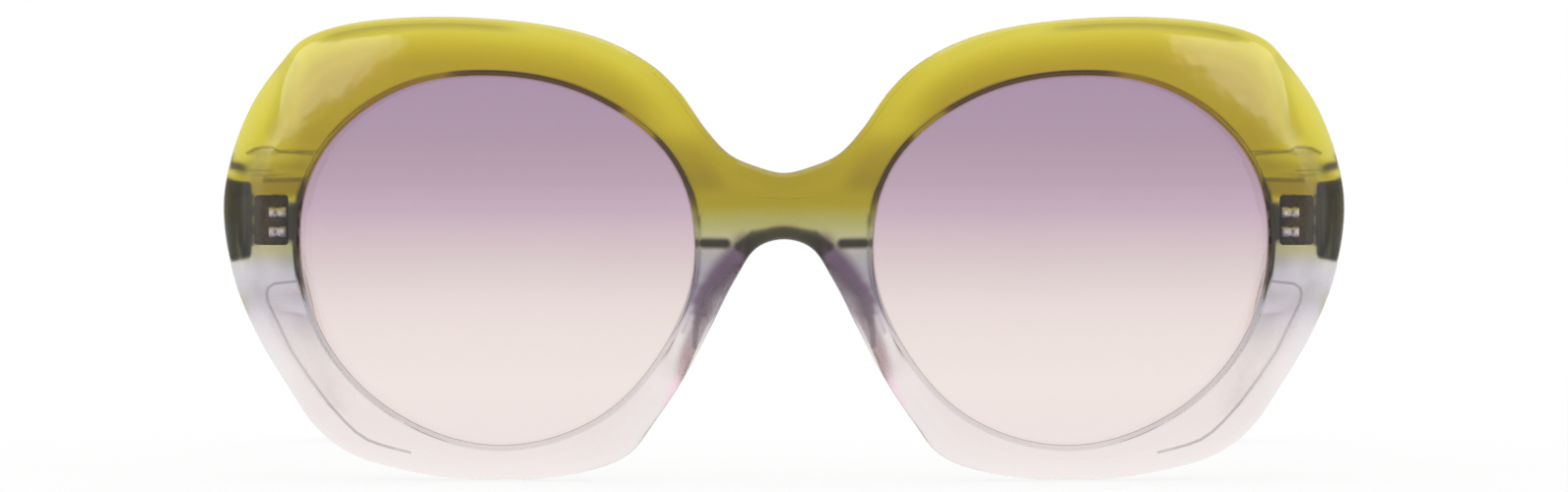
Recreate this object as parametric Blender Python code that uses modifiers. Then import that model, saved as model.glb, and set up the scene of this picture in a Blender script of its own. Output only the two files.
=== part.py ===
"""Sunglasses: a laminated acetate front, two tinted lenses and two temples that fold on five-barrel hinges.

Lengths are in metres and +Z is up. The front looks along -Y and the open temples run back along +Y. The
model stands on the lower rims and the temple tips, with its origin under its middle. Pieces are shaped on
the right side, at +X, and copied to the left.
"""

import math

import bmesh
import bpy
import numpy as np
from mathutils import Matrix, Vector

MM = 0.001

# Lens openings and the acetate around them
LENS_WIDTH = 50.3 * MM
LENS_HEIGHT = 47.1 * MM
BRIDGE_GAP = 23.1 * MM
ENDPIECE_WIDTH = 10.2 * MM
TOP_RIM = 7.75 * MM
BOTTOM_RIM = 4.55 * MM
FRONT_THICKNESS = 4.8 * MM

# The front leans back from the bridge to the endpieces, and turns smoothly within the blend
WRAP_ANGLE = math.radians(6.8)
WRAP_BLEND = 12.0 * MM

# Edges of the front: wide soft rounds outside, a narrow lip at the lens
FRONT_EDGE_WIDTH = 2.4 * MM
FRONT_EDGE_DEPTH = 1.6 * MM
FACET_WIDTH = 2.2 * MM
BACK_EDGE_WIDTH = 3.4 * MM
BACK_EDGE_DEPTH = 1.0 * MM
LIP_WIDTH = 0.9 * MM

# Endpiece block behind each end of the front, flat where the temple butts against it
BLOCK_RISE = 1.4 * MM
BLOCK_HEIGHT = 17.0 * MM
BLOCK_RAMP = 2.4 * MM
BLOCK_EDGE = 0.6 * MM

# Lenses: meniscus sheets with a V edge in the rims' grooves
LENS_THICKNESS = 2.0 * MM
LENS_CURVE_RADIUS = 132.5 * MM
GROOVE_DEPTH = 1.0 * MM
LENS_EDGE_CLEARANCE = 0.15 * MM

# Nose pads, bonded behind the rims
PAD_LENGTH = 16.5 * MM
PAD_WIDTH = 4.6 * MM
PAD_DEPTH = 4.2 * MM
PAD_LEAN = math.radians(22.0)
PAD_SPLAY = 1.0 * MM

# Hinges
HINGE_WALL = 1.7 * MM
KNUCKLE_RADIUS = 1.2 * MM
FRONT_KNUCKLE_HEIGHT = 0.9 * MM
TEMPLE_KNUCKLE_HEIGHT = 1.3 * MM
RUNNING_GAP = 0.1 * MM
AXIS_CLEARANCE = 0.2 * MM
PLATE_THICKNESS = 1.0 * MM
PLATE_MARGIN = 0.4 * MM
PLATE_CORNER = 0.5 * MM
TEMPLE_PLATE_LENGTH = 10.5 * MM
SCREW_RADIUS = 0.55 * MM
SCREW_HEAD_RADIUS = 0.95 * MM
SCREW_HEAD_HEIGHT = 0.45 * MM
SLOT_WIDTH = 0.3 * MM
SLOT_DEPTH = 0.25 * MM

# Temples
TEMPLE_THICKNESS = 3.2 * MM
TEMPLE_INSET = 0.6 * MM
TEMPLE_HEIGHT = 9.9 * MM
NECK_HEIGHT = 6.8 * MM
TIP_HEIGHT = 9.2 * MM
STRAIGHT_LENGTH = 97.0 * MM
BEND_RADIUS = 30.0 * MM
TEMPLE_SLOPE = math.radians(4.0)
TIP_DROP = math.radians(42.0)
TIP_BOW = 5.0 * MM
BOW_START = 80.0 * MM
CORE_RADIUS = 0.65 * MM
CORE_TIP_WALL = 12.0 * MM

# Fits
SEAT_GAP = 0.25 * MM
BUTT_GAP = 0.3 * MM
STANDING_FLAT = 0.12 * MM
OVERRUN = 2.0 * MM

# Outline of the right half of the front, from the top of the bridge round to its underside. Across, 0 to 1
# crosses half the bridge gap, 1 to 2 the lens opening and 2 to 3 the endpiece. Up, 0 to 1 crosses the
# bottom rim, 1 to 2 the lens opening and 2 to 3 the top rim.
OUTLINE_SHARES = (
    (0.00, 1.740),
    (0.30, 1.757),
    (0.60, 1.790),
    (0.86, 1.857),
    (1.035, 1.959),
    (1.10, 2.165),
    (1.21, 2.570),
    (1.36, 2.845),
    (1.65, 3.000),
    (1.89, 2.870),
    (2.00, 2.612),
    (2.25, 2.265),
    (2.64, 1.925),
    (2.915, 1.770),
    (3.00, 1.640),
    (2.87, 1.455),
    (2.58, 1.300),
    (2.18, 1.155),
    (1.965, 1.045),
    (1.88, 0.750),
    (1.73, 0.250),
    (1.52, 0.000),
    (1.29, 0.230),
    (1.165, 0.750),
    (1.098, 1.065),
    (1.02, 1.190),
    (0.80, 1.325),
    (0.54, 1.450),
    (0.30, 1.536),
    (0.00, 1.559),
)

# Reach of the lens opening every 30 degrees from straight outwards, over its half width and height
LENS_SHARES = (1.0, 1.06, 1.05, 1.0, 1.005, 1.035, 1.0, 0.965, 0.99, 1.0, 0.975, 0.975)

# Heights over the whole front: of the hinges, and where the endpiece facet starts, is widest and ends
HINGE_SHARE = 0.56
FACET_SHARES = (0.66, 0.76, 0.90)

# Nose pad centre: across from the mid-plane over the bridge gap, and up over the lens opening
PAD_CENTRE_SHARES = (0.49, 0.355)

# Most that an edge may take of the rim that it rounds, and of the wall beside the lens groove
RIM_SHARE = 0.6
LIP_SHARE = 0.6

# Rings of a nose pad, as shares of its reach and of its rise, and rings of a lens as shares of its reach
PAD_RING_SHARES = ((0.5, 0.0), (0.95, 0.0), (1.0, 0.15), (0.93, 0.5), (0.74, 0.8), (0.42, 0.96))
LENS_RING_SHARES = (0.3, 0.55, 0.8, 1.0)

# Steps along and round the pieces
STATIONS = 66
SPAN_STEPS = 12
LENS_STATIONS = 48
PAD_STATIONS = 20
TEMPLE_SIDES = 16
ROUND_SIDES = 20
CORE_SIDES = 8
CORE_STEPS = 24
STRAIGHT_STEPS = 8
BEND_STEPS = 7
TAIL_STEPS = 4
KNUCKLES = 5
CORNER_SEGMENTS = 2

# Angles of the rows round the front's edges, and of the sections that close the temple tips, in degrees
FRONT_ROUND_ANGLES = (0, 30, 60)
BACK_ROUND_ANGLES = (50, 0)
TIP_ANGLES = (15, 30, 42, 54, 66, 78)

# How square the temples' sections are: 1 is an ellipse, 0 a rectangle
CORNER_POWER = 0.45

# Steps between faces past this many degrees stay sharp
SHARP_ANGLE = 35
PAD_SHARP_ANGLE = 60
TEMPLE_SHARP_ANGLE = 40

# Distances within which points are taken as one, and the turn over which a direction is measured
WELD_REACH = 0.001 * MM
SEAM_REACH = 0.01 * MM
CUT_REACH = 0.0001 * MM
SMALL_TURN = math.radians(0.5)

HALF_GAP = BRIDGE_GAP / 2
LENS_X = HALF_GAP + LENS_WIDTH / 2
LENS_Z = BOTTOM_RIM + LENS_HEIGHT / 2
LENS_OUTER_X = HALF_GAP + LENS_WIDTH
HALF_WIDTH = LENS_OUTER_X + ENDPIECE_WIDTH
FRONT_HEIGHT = BOTTOM_RIM + LENS_HEIGHT + TOP_RIM
HINGE_Z = HINGE_SHARE * FRONT_HEIGHT


def wrap(x):
    """Returns how far the front has leant back at a distance from the mid-plane."""
    return math.tan(WRAP_ANGLE) * (np.hypot(x, WRAP_BLEND) - WRAP_BLEND)


BUTT_Y = float(wrap(HALF_WIDTH)) + FRONT_THICKNESS + BLOCK_RISE
PLATE_INNER_X = LENS_OUTER_X + HINGE_WALL
AXIS_X = PLATE_INNER_X + KNUCKLE_RADIUS + RUNNING_GAP
AXIS_Y = BUTT_Y + AXIS_CLEARANCE + KNUCKLE_RADIUS
TEMPLE_OUTER_X = HALF_WIDTH - TEMPLE_INSET
TEMPLE_INNER_X = TEMPLE_OUTER_X - TEMPLE_THICKNESS
TEMPLE_X = TEMPLE_OUTER_X - TEMPLE_THICKNESS / 2
PLATE_OUTER_X = TEMPLE_INNER_X - SEAT_GAP
TEMPLE_START_Y = BUTT_Y + BUTT_GAP
FRONT_KNUCKLES = (KNUCKLES + 1) // 2
TEMPLE_KNUCKLES = KNUCKLES // 2
HINGE_HEIGHT = (FRONT_KNUCKLES * FRONT_KNUCKLE_HEIGHT + TEMPLE_KNUCKLES * TEMPLE_KNUCKLE_HEIGHT
                + (KNUCKLES - 1) * RUNNING_GAP)
PLATE_HEIGHT = HINGE_HEIGHT + 2 * PLATE_MARGIN
BORE_RADIUS = SCREW_RADIUS + RUNNING_GAP


def ramp(value, low, high):
    """Returns a smooth step from 0 at low to 1 at high."""
    share = np.clip((value - low) / (high - low), 0.0, 1.0)
    return share * share * (3.0 - 2.0 * share)


def spline(points):
    """Returns a centripetal Catmull-Rom curve through points, level where it crosses the mid-plane."""
    flip = np.array([-1.0, 1.0])
    run = np.vstack([points[1] * flip, points, points[-2] * flip])
    curve = []
    for p0, p1, p2, p3 in zip(run, run[1:], run[2:], run[3:]):
        t1 = np.linalg.norm(p1 - p0) ** 0.5
        t2 = t1 + np.linalg.norm(p2 - p1) ** 0.5
        t3 = t2 + np.linalg.norm(p3 - p2) ** 0.5
        t = np.linspace(t1, t2, SPAN_STEPS, endpoint=False)[:, None]
        a1 = p0 + (p1 - p0) * t / t1
        a2 = p1 + (p2 - p1) * (t - t1) / (t2 - t1)
        a3 = p2 + (p3 - p2) * (t - t2) / (t3 - t2)
        b1 = a1 + (a2 - a1) * t / t2
        b2 = a2 + (a3 - a2) * (t - t1) / (t3 - t1)
        curve.append(b1 + (b2 - b1) * (t - t1) / (t2 - t1))
    return np.vstack(curve + [points[-1:]])


def resampled(curve, count):
    """Returns count + 1 points at equal distances along a curve."""
    reach = np.concatenate([[0.0], np.cumsum(np.linalg.norm(np.diff(curve, axis=0), axis=1))])
    stops = np.linspace(0.0, reach[-1], count + 1)
    return np.column_stack([np.interp(stops, reach, curve[:, axis]) for axis in range(2)])


def outline():
    """Returns the stations round the right half of the front, as points and outward normals in X and Z."""
    bands = (0, 1, 2, 3)
    across_bands = (0, HALF_GAP, LENS_OUTER_X, HALF_WIDTH)
    up_bands = (-STANDING_FLAT, BOTTOM_RIM, BOTTOM_RIM + LENS_HEIGHT, FRONT_HEIGHT)
    across = np.interp([share[0] for share in OUTLINE_SHARES], bands, across_bands)
    up = np.interp([share[1] for share in OUTLINE_SHARES], bands, up_bands)
    points = resampled(spline(np.column_stack([across, up])), STATIONS)
    points[0, 0] = 0.0
    points[-1, 0] = 0.0
    tangents = np.gradient(points, axis=0)
    tangents[0] = (1.0, 0.0)
    tangents[-1] = (-1.0, 0.0)
    normals = np.column_stack([-tangents[:, 1], tangents[:, 0]])
    normals /= np.linalg.norm(normals, axis=1)[:, None]
    beyond = np.array([-OVERRUN, 0.0])
    points = np.vstack([points[0] + beyond, points, points[-1] + beyond])
    normals = np.vstack([normals[0], normals, normals[-1]])
    points[:, 1] = np.maximum(points[:, 1], 0.0)
    return points, normals


def lens_reach(turn):
    """Returns the lens opening's reach at an angle, from the shares every 30 degrees."""
    shares = np.array(LENS_SHARES)
    place = turn / (2 * math.pi) * len(shares)
    index = np.floor(place).astype(int)
    part = place - index
    p0, p1, p2, p3 = (shares[(index + step) % len(shares)] for step in (-1, 0, 1, 2))
    bend = 2 * p0 - 5 * p1 + 4 * p2 - p3
    return p1 + 0.5 * part * (p2 - p0 + part * (bend + part * (3 * (p1 - p2) + p3 - p0)))


def lens_edge(turn, offset=0.0):
    """Returns points of the lens opening at angles about its centre, moved outwards by an offset."""
    def edge(angle):
        across = np.cos(angle) / (LENS_WIDTH / 2)
        up = np.sin(angle) / (LENS_HEIGHT / 2)
        radius = lens_reach(np.arctan2(up, across)) / np.hypot(across, up)
        return np.column_stack([LENS_X + radius * np.cos(angle), LENS_Z + radius * np.sin(angle)])

    tangents = edge(turn + SMALL_TURN) - edge(turn - SMALL_TURN)
    normals = np.column_stack([tangents[:, 1], -tangents[:, 0]])
    normals /= np.linalg.norm(normals, axis=1)[:, None]
    return edge(turn) + normals * offset


def lens_y(points):
    """Returns the depth of the lens's middle surface, a sphere laid over the wrapped front."""
    middle_reach = (LENS_WIDTH + LENS_HEIGHT) / 4
    distance = np.hypot(points[:, 0] - LENS_X, points[:, 1] - LENS_Z)
    dome = (middle_reach ** 2 - distance ** 2) / (2 * LENS_CURVE_RADIUS)
    return wrap(points[:, 0]) + FRONT_THICKNESS / 2 - dome


def back_y(points):
    """Returns the depth of the front's back face, which steps out to the flat endpiece block."""
    low = HINGE_Z - BLOCK_HEIGHT / 2
    high = HINGE_Z + BLOCK_HEIGHT / 2
    height = points[:, 1]
    block = ramp(height, low - BLOCK_RAMP, low) * (1 - ramp(height, high, high + BLOCK_RAMP))
    block = np.where(points[:, 0] > LENS_X, block, 0.0)
    plain = wrap(points[:, 0]) + FRONT_THICKNESS
    return plain + block * (BUTT_Y - plain), block


def front_rows():
    """Returns the rows of the half front's closed section: each row has one point a station."""
    outer, outward = outline()
    turn = np.arctan2(outer[:, 1] - LENS_Z, outer[:, 0] - LENS_X)
    width = np.linalg.norm(outer - lens_edge(turn), axis=1)
    lip = np.minimum(LIP_WIDTH, width * (1 - RIM_SHARE) / 2)
    start, middle, end = (share * FRONT_HEIGHT for share in FACET_SHARES)
    facet = ramp(outer[:, 1], start, middle) * (1 - ramp(outer[:, 1], middle, end))
    facet = np.where(outer[:, 0] > LENS_X, facet, 0.0)
    front_width = np.minimum(FRONT_EDGE_WIDTH + FACET_WIDTH * facet, width * RIM_SHARE)
    back_width = np.minimum(BACK_EDGE_WIDTH, width * RIM_SHARE)
    groove = LENS_THICKNESS / 2 * (1 + LENS_EDGE_CLEARANCE / GROOVE_DEPTH)
    rows = []

    def inset(edge_width, share):
        """Returns the outline moved inwards by a share of an edge's width."""
        return outer - outward * (share * edge_width)[:, None]

    def add(points, depth):
        """Adds a row at points in X and Z."""
        rows.append(np.column_stack([points[:, 0], depth, points[:, 1]]))

    for angle in FRONT_ROUND_ANGLES:
        turned = math.radians(angle)
        round_points = inset(front_width, 1 - math.cos(turned))
        add(round_points, wrap(round_points[:, 0]) + FRONT_EDGE_DEPTH * (1 - math.sin(turned)))
    front_edge = inset(front_width, 1)
    lip_points = lens_edge(turn, lip[:, None])
    for points in (front_edge, (front_edge + lip_points) / 2, lip_points):
        add(points, wrap(points[:, 0]))

    wall = lens_edge(turn)
    centre = lens_y(wall)
    face = wrap(wall[:, 0])
    back = face + FRONT_THICKNESS
    front_lip = LIP_SHARE * (centre - groove - face)
    back_lip = LIP_SHARE * (back - centre - groove)
    soft = 1 - math.sqrt(0.5)
    add(lens_edge(turn, lip[:, None] * soft), face + front_lip * soft)
    add(wall, face + front_lip)
    add(wall, centre - groove)
    add(lens_edge(turn, GROOVE_DEPTH), centre)
    add(wall, centre + groove)
    add(wall, back - back_lip)
    add(lens_edge(turn, lip[:, None] * soft), back - back_lip * soft)

    back_edge = inset(back_width, 1)
    for points in (lip_points, (lip_points + back_edge) / 2, back_edge):
        add(points, back_y(points)[0])
    for angle in BACK_ROUND_ANGLES:
        turned = math.radians(angle)
        round_points = inset(back_width, 1 - math.cos(turned))
        depth, block = back_y(round_points)
        round_depth = BACK_EDGE_DEPTH + (BLOCK_EDGE - BACK_EDGE_DEPTH) * block
        add(round_points, depth - round_depth * (1 - math.sin(turned)))
    return rows


def srgb(hex_code):
    """Returns a linear colour from a hex code."""
    values = [int(hex_code[index:index + 2], 16) / 255 for index in (0, 2, 4)]
    linear = [value / 12.92 if value <= 0.04045 else ((value + 0.055) / 1.055) ** 2.4 for value in values]
    return linear + [1.0]


def material(name, hex_code, roughness, metallic=0.0, transmission=0.0):
    """Returns a plain material."""
    made = bpy.data.materials.new(name)
    made.use_nodes = True
    shader = made.node_tree.nodes["Principled BSDF"]
    shader.inputs["Base Color"].default_value = srgb(hex_code)
    shader.inputs["Roughness"].default_value = roughness
    shader.inputs["Metallic"].default_value = metallic
    shader.inputs["Transmission Weight"].default_value = transmission
    return made


def collection(name):
    """Returns a new collection in the scene."""
    made = bpy.data.collections.new(name)
    bpy.context.scene.collection.children.link(made)
    return made


def mirrored_shape(source):
    """Returns the mirror image of an object's mesh."""
    shape = bmesh.new()
    shape.from_mesh(source.data)
    bmesh.ops.transform(shape, matrix=Matrix.Scale(-1, 4, Vector((1, 0, 0))), verts=shape.verts)
    return shape


class Bench:
    """Holds the collections that pieces and cutters go into."""

    def __init__(self):
        self.parts = collection("sunglasses")
        self.cutters = collection("cutters")

    def piece(self, name, shape, finish):
        """Adds a named piece from a bmesh."""
        mesh = bpy.data.meshes.new(name)
        bmesh.ops.recalc_face_normals(shape, faces=shape.faces)
        shape.to_mesh(mesh)
        shape.free()
        mesh.materials.append(finish)
        made = bpy.data.objects.new(name, mesh)
        self.parts.objects.link(made)
        return made

    def tool(self, name, shape):
        """Adds a shape that only cuts or joins, and isn't a piece."""
        mesh = bpy.data.meshes.new(name)
        bmesh.ops.recalc_face_normals(shape, faces=shape.faces)
        shape.to_mesh(mesh)
        shape.free()
        made = bpy.data.objects.new(name, mesh)
        made.hide_render = True
        made.display_type = "WIRE"
        self.cutters.objects.link(made)
        return made

    def mirrored(self, source, name):
        """Adds the left copy of a right piece."""
        return self.piece(name, mirrored_shape(source), source.data.materials[0])


def boolean(target, tool, operation):
    """Cuts a tool from a target, or joins it on."""
    modifier = target.modifiers.new(tool.name, "BOOLEAN")
    modifier.operation = operation
    modifier.object = tool


def baked(target):
    """Replaces an object's mesh with the one that its modifiers make."""
    depsgraph = bpy.context.evaluated_depsgraph_get()
    mesh = bpy.data.meshes.new_from_object(target.evaluated_get(depsgraph))
    target.modifiers.clear()
    target.data = mesh
    return target


def smooth(target, degrees=SHARP_ANGLE):
    """Shades an object smooth, with its corners sharp."""
    target.data.shade_smooth()
    target.data.set_sharp_from_angle(angle=math.radians(degrees))


def box(low, high, corner=0.0, thin_axis=2):
    """Returns a box between two corners, whose four edges along one axis may be rounded."""
    low = Vector(low)
    high = Vector(high)
    size = high - low
    shape = bmesh.new()
    bmesh.ops.create_cube(shape, size=1)
    bmesh.ops.transform(shape, verts=shape.verts, matrix=Matrix.LocRotScale((low + high) / 2, None, size))
    if corner:
        others = [axis for axis in range(3) if axis != thin_axis]
        edges = [edge for edge in shape.edges
                 if all(abs(edge.verts[0].co[axis] - edge.verts[1].co[axis]) < corner for axis in others)]
        bmesh.ops.bevel(shape, geom=edges, offset=corner, segments=CORNER_SEGMENTS, profile=0.5,
                        affect="EDGES")
    return shape


def cylinder(centre, radius, height):
    """Returns an upright cylinder about a centre."""
    shape = bmesh.new()
    bmesh.ops.create_cone(shape, cap_ends=True, segments=ROUND_SIDES, radius1=radius, radius2=radius,
                          depth=height, matrix=Matrix.Translation(centre))
    return shape


def prism(points, low, high):
    """Returns an upright prism over an outline in X and Y."""
    shape = bmesh.new()
    face = shape.faces.new([shape.verts.new((x, y, low)) for x, y in points])
    top = bmesh.ops.extrude_face_region(shape, geom=[face])
    rise = [item for item in top["geom"] if isinstance(item, bmesh.types.BMVert)]
    bmesh.ops.translate(shape, verts=rise, vec=(0, 0, high - low))
    return shape


def loft(sections, closed):
    """Returns a skin over sections of equal point counts.

    A closed loft joins its last section to its first. An open one has a flat cap at each end.
    """
    shape = bmesh.new()
    rings = [[shape.verts.new(point) for point in section] for section in sections]
    pairs = list(zip(rings, rings[1:]))
    if closed:
        pairs.append((rings[-1], rings[0]))
    for first, second in pairs:
        count = len(first)
        for index in range(count):
            following = (index + 1) % count
            shape.faces.new((first[index], first[following], second[following], second[index]))
    if not closed:
        shape.faces.new(rings[0])
        shape.faces.new(rings[-1])
    return shape


def domed(rings, front_middle, back_middle):
    """Returns a closed skin over rings, with a fan to a middle point at each end."""
    shape = loft(rings, closed=False)
    shape.faces.ensure_lookup_table()
    caps = sorted(shape.faces, key=lambda face: len(face.verts))[-2:]
    caps.sort(key=lambda face: (face.calc_center_median() - Vector(front_middle)).length)
    for cap, middle in zip(caps, (front_middle, back_middle)):
        poked = bmesh.ops.poke(shape, faces=[cap])
        poked["verts"][0].co = middle
    return shape


def front_frame(bench, finish):
    """Makes the front: a loft round one lens opening, cut at the mid-plane and mirrored."""
    shape = loft(front_rows(), closed=True)
    bmesh.ops.bisect_plane(shape, geom=shape.verts[:] + shape.edges[:] + shape.faces[:], dist=CUT_REACH,
                           plane_co=(0, 0, 0), plane_no=(1, 0, 0), clear_inner=True)
    for vert in shape.verts:
        if abs(vert.co.x) < SEAM_REACH:
            vert.co.x = 0.0
    frame = bench.piece("front_frame", shape, finish)
    mirror = frame.modifiers.new("Mirror", "MIRROR")
    mirror.merge_threshold = SEAM_REACH
    half_pocket = PLATE_HEIGHT / 2 + SEAT_GAP
    pocket = box((PLATE_INNER_X - SEAT_GAP, BUTT_Y - PLATE_THICKNESS - SEAT_GAP, HINGE_Z - half_pocket),
                 (PLATE_OUTER_X + SEAT_GAP / 2, BUTT_Y + OVERRUN, HINGE_Z + half_pocket),
                 PLATE_CORNER, thin_axis=1)
    right = bench.tool("front_pocket_right", pocket)
    left = bench.tool("front_pocket_left", mirrored_shape(right))
    for tool in (right, left):
        boolean(frame, tool, "DIFFERENCE")
    baked(frame)
    smooth(frame)
    return frame


def lens(bench, finish):
    """Makes the right lens: two domed faces and a V edge."""
    turn = np.linspace(0, 2 * math.pi, LENS_STATIONS, endpoint=False)
    centre = np.array([LENS_X, LENS_Z])
    rings = []

    def ring(points, shift):
        """Adds a ring at a distance from the middle surface."""
        rings.append(np.column_stack([points[:, 0], lens_y(points) + shift, points[:, 1]]))

    rim = lens_edge(turn, -LENS_EDGE_CLEARANCE)
    apex = lens_edge(turn, GROOVE_DEPTH - SEAT_GAP)
    half = LENS_THICKNESS / 2
    for share in LENS_RING_SHARES:
        ring(centre + (rim - centre) * share, -half)
    ring(apex, 0.0)
    for share in reversed(LENS_RING_SHARES):
        ring(centre + (rim - centre) * share, half)
    middle = float(lens_y(centre[None, :])[0])
    shape = domed(rings, (LENS_X, middle - half, LENS_Z), (LENS_X, middle + half, LENS_Z))
    made = bench.piece("lens_right", shape, finish)
    smooth(made)
    return made


def nose_pad(bench, finish):
    """Makes the right nose pad: a dome on a base that follows the back of the rim."""
    centre = np.array([PAD_CENTRE_SHARES[0] * BRIDGE_GAP, BOTTOM_RIM + PAD_CENTRE_SHARES[1] * LENS_HEIGHT])
    along = np.array([math.sin(PAD_LEAN), -math.cos(PAD_LEAN)])
    across = np.array([math.cos(PAD_LEAN), math.sin(PAD_LEAN)])
    turn = np.linspace(0, 2 * math.pi, PAD_STATIONS, endpoint=False)
    reach = (np.outer(np.cos(turn) * PAD_LENGTH / 2, along)
             + np.outer(np.sin(turn) * PAD_WIDTH / 2, across))
    rings = []
    for share, rise_share in PAD_RING_SHARES:
        points = centre + reach * share
        depth = wrap(points[:, 0]) + FRONT_THICKNESS + SEAT_GAP + rise_share * PAD_DEPTH
        rings.append(np.column_stack([points[:, 0] + PAD_SPLAY * rise_share, depth, points[:, 1]]))
    base = float(wrap(centre[0])) + FRONT_THICKNESS + SEAT_GAP
    shape = domed(rings, (centre[0], base, centre[1]), (centre[0] + PAD_SPLAY, base + PAD_DEPTH, centre[1]))
    made = bench.piece("nose_pad_right", shape, finish)
    smooth(made, PAD_SHARP_ANGLE)
    return made


def knuckle_outline(root, root_reach):
    """Returns a knuckle's outline about the hinge axis: a round end and straight sides down to its root."""
    side = Vector((-root.y, root.x))
    axis = Vector((AXIS_X, AXIS_Y))
    steps = ROUND_SIDES // 2
    points = []
    for step in range(steps + 1):
        turned = math.pi * step / steps
        points.append(axis + (side * math.cos(turned) - root * math.sin(turned)) * KNUCKLE_RADIUS)
    points.append(axis - side * KNUCKLE_RADIUS + root * root_reach)
    points.append(axis + side * KNUCKLE_RADIUS + root * root_reach)
    return [(point.x, point.y) for point in points]


def knuckle_levels():
    """Returns the levels of the knuckles from the lowest up, the front leaf's and the temple's by turns."""
    level = HINGE_Z - HINGE_HEIGHT / 2
    levels = []
    for index in range(KNUCKLES):
        height = TEMPLE_KNUCKLE_HEIGHT if index % 2 else FRONT_KNUCKLE_HEIGHT
        levels.append((level, level + height))
        level += height + RUNNING_GAP
    return levels


def hinge_leaf(bench, name, finish, plate, root, root_reach, levels):
    """Makes a hinge leaf: a plate with knuckles joined on and the screw's bore cut through them."""
    leaf = bench.piece(name, plate, finish)
    for index, (low, high) in enumerate(levels):
        knuckle = bench.tool(f"{name}_knuckle_{index}", prism(knuckle_outline(root, root_reach), low, high))
        boolean(leaf, knuckle, "UNION")
    bore = cylinder((AXIS_X, AXIS_Y, HINGE_Z), BORE_RADIUS, HINGE_HEIGHT + 2 * OVERRUN)
    boolean(leaf, bench.tool(f"{name}_bore", bore), "DIFFERENCE")
    baked(leaf)
    smooth(leaf)
    return leaf


def front_leaf(bench, finish):
    """Makes the right front leaf: its plate lies in the endpiece block."""
    plate = box((PLATE_INNER_X, BUTT_Y - PLATE_THICKNESS, HINGE_Z - PLATE_HEIGHT / 2),
                (PLATE_OUTER_X, BUTT_Y, HINGE_Z + PLATE_HEIGHT / 2), PLATE_CORNER, thin_axis=1)
    reach = AXIS_Y - BUTT_Y + PLATE_THICKNESS / 2
    root = Vector((0, -1))
    return hinge_leaf(bench, "front_hinge_leaf_right", finish, plate, root, reach, knuckle_levels()[::2])


def temple_leaf(bench, finish):
    """Makes the right temple leaf: its plate lies in the temple's inner face."""
    start = AXIS_Y - KNUCKLE_RADIUS
    plate = box((TEMPLE_INNER_X, start, HINGE_Z - PLATE_HEIGHT / 2),
                (TEMPLE_INNER_X + PLATE_THICKNESS, start + TEMPLE_PLATE_LENGTH, HINGE_Z + PLATE_HEIGHT / 2),
                PLATE_CORNER, thin_axis=0)
    reach = TEMPLE_INNER_X - AXIS_X + PLATE_THICKNESS / 2
    root = Vector((1, 0))
    return hinge_leaf(bench, "temple_hinge_leaf_right", finish, plate, root, reach, knuckle_levels()[1::2])


def hinge_screw(bench, finish):
    """Makes the right hinge screw: a turned shank and head, with a slot across the head."""
    top = HINGE_Z + HINGE_HEIGHT / 2
    head_low = top + RUNNING_GAP
    head_high = head_low + SCREW_HEAD_HEIGHT
    profile = ((0, head_high), (SCREW_HEAD_RADIUS, head_high), (SCREW_HEAD_RADIUS, head_low),
               (SCREW_RADIUS, head_low), (SCREW_RADIUS, top - HINGE_HEIGHT), (0, top - HINGE_HEIGHT))
    shape = bmesh.new()
    verts = [shape.verts.new((radius, 0, height)) for radius, height in profile]
    for first, second in zip(verts, verts[1:]):
        shape.edges.new((first, second))
    screw = bench.piece("hinge_screw_right", shape, finish)
    turned = screw.modifiers.new("Screw", "SCREW")
    turned.steps = ROUND_SIDES
    turned.render_steps = ROUND_SIDES
    turned.use_merge_vertices = True
    turned.merge_threshold = WELD_REACH
    baked(screw)
    screw.data.transform(Matrix.Translation((AXIS_X, AXIS_Y, 0)))
    slot = box((AXIS_X - SCREW_HEAD_RADIUS - OVERRUN, AXIS_Y - SLOT_WIDTH / 2, head_high - SLOT_DEPTH),
               (AXIS_X + SCREW_HEAD_RADIUS + OVERRUN, AXIS_Y + SLOT_WIDTH / 2, head_high + OVERRUN))
    boolean(screw, bench.tool("screw_slot", slot), "DIFFERENCE")
    baked(screw)
    smooth(screw)
    return screw


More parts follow.
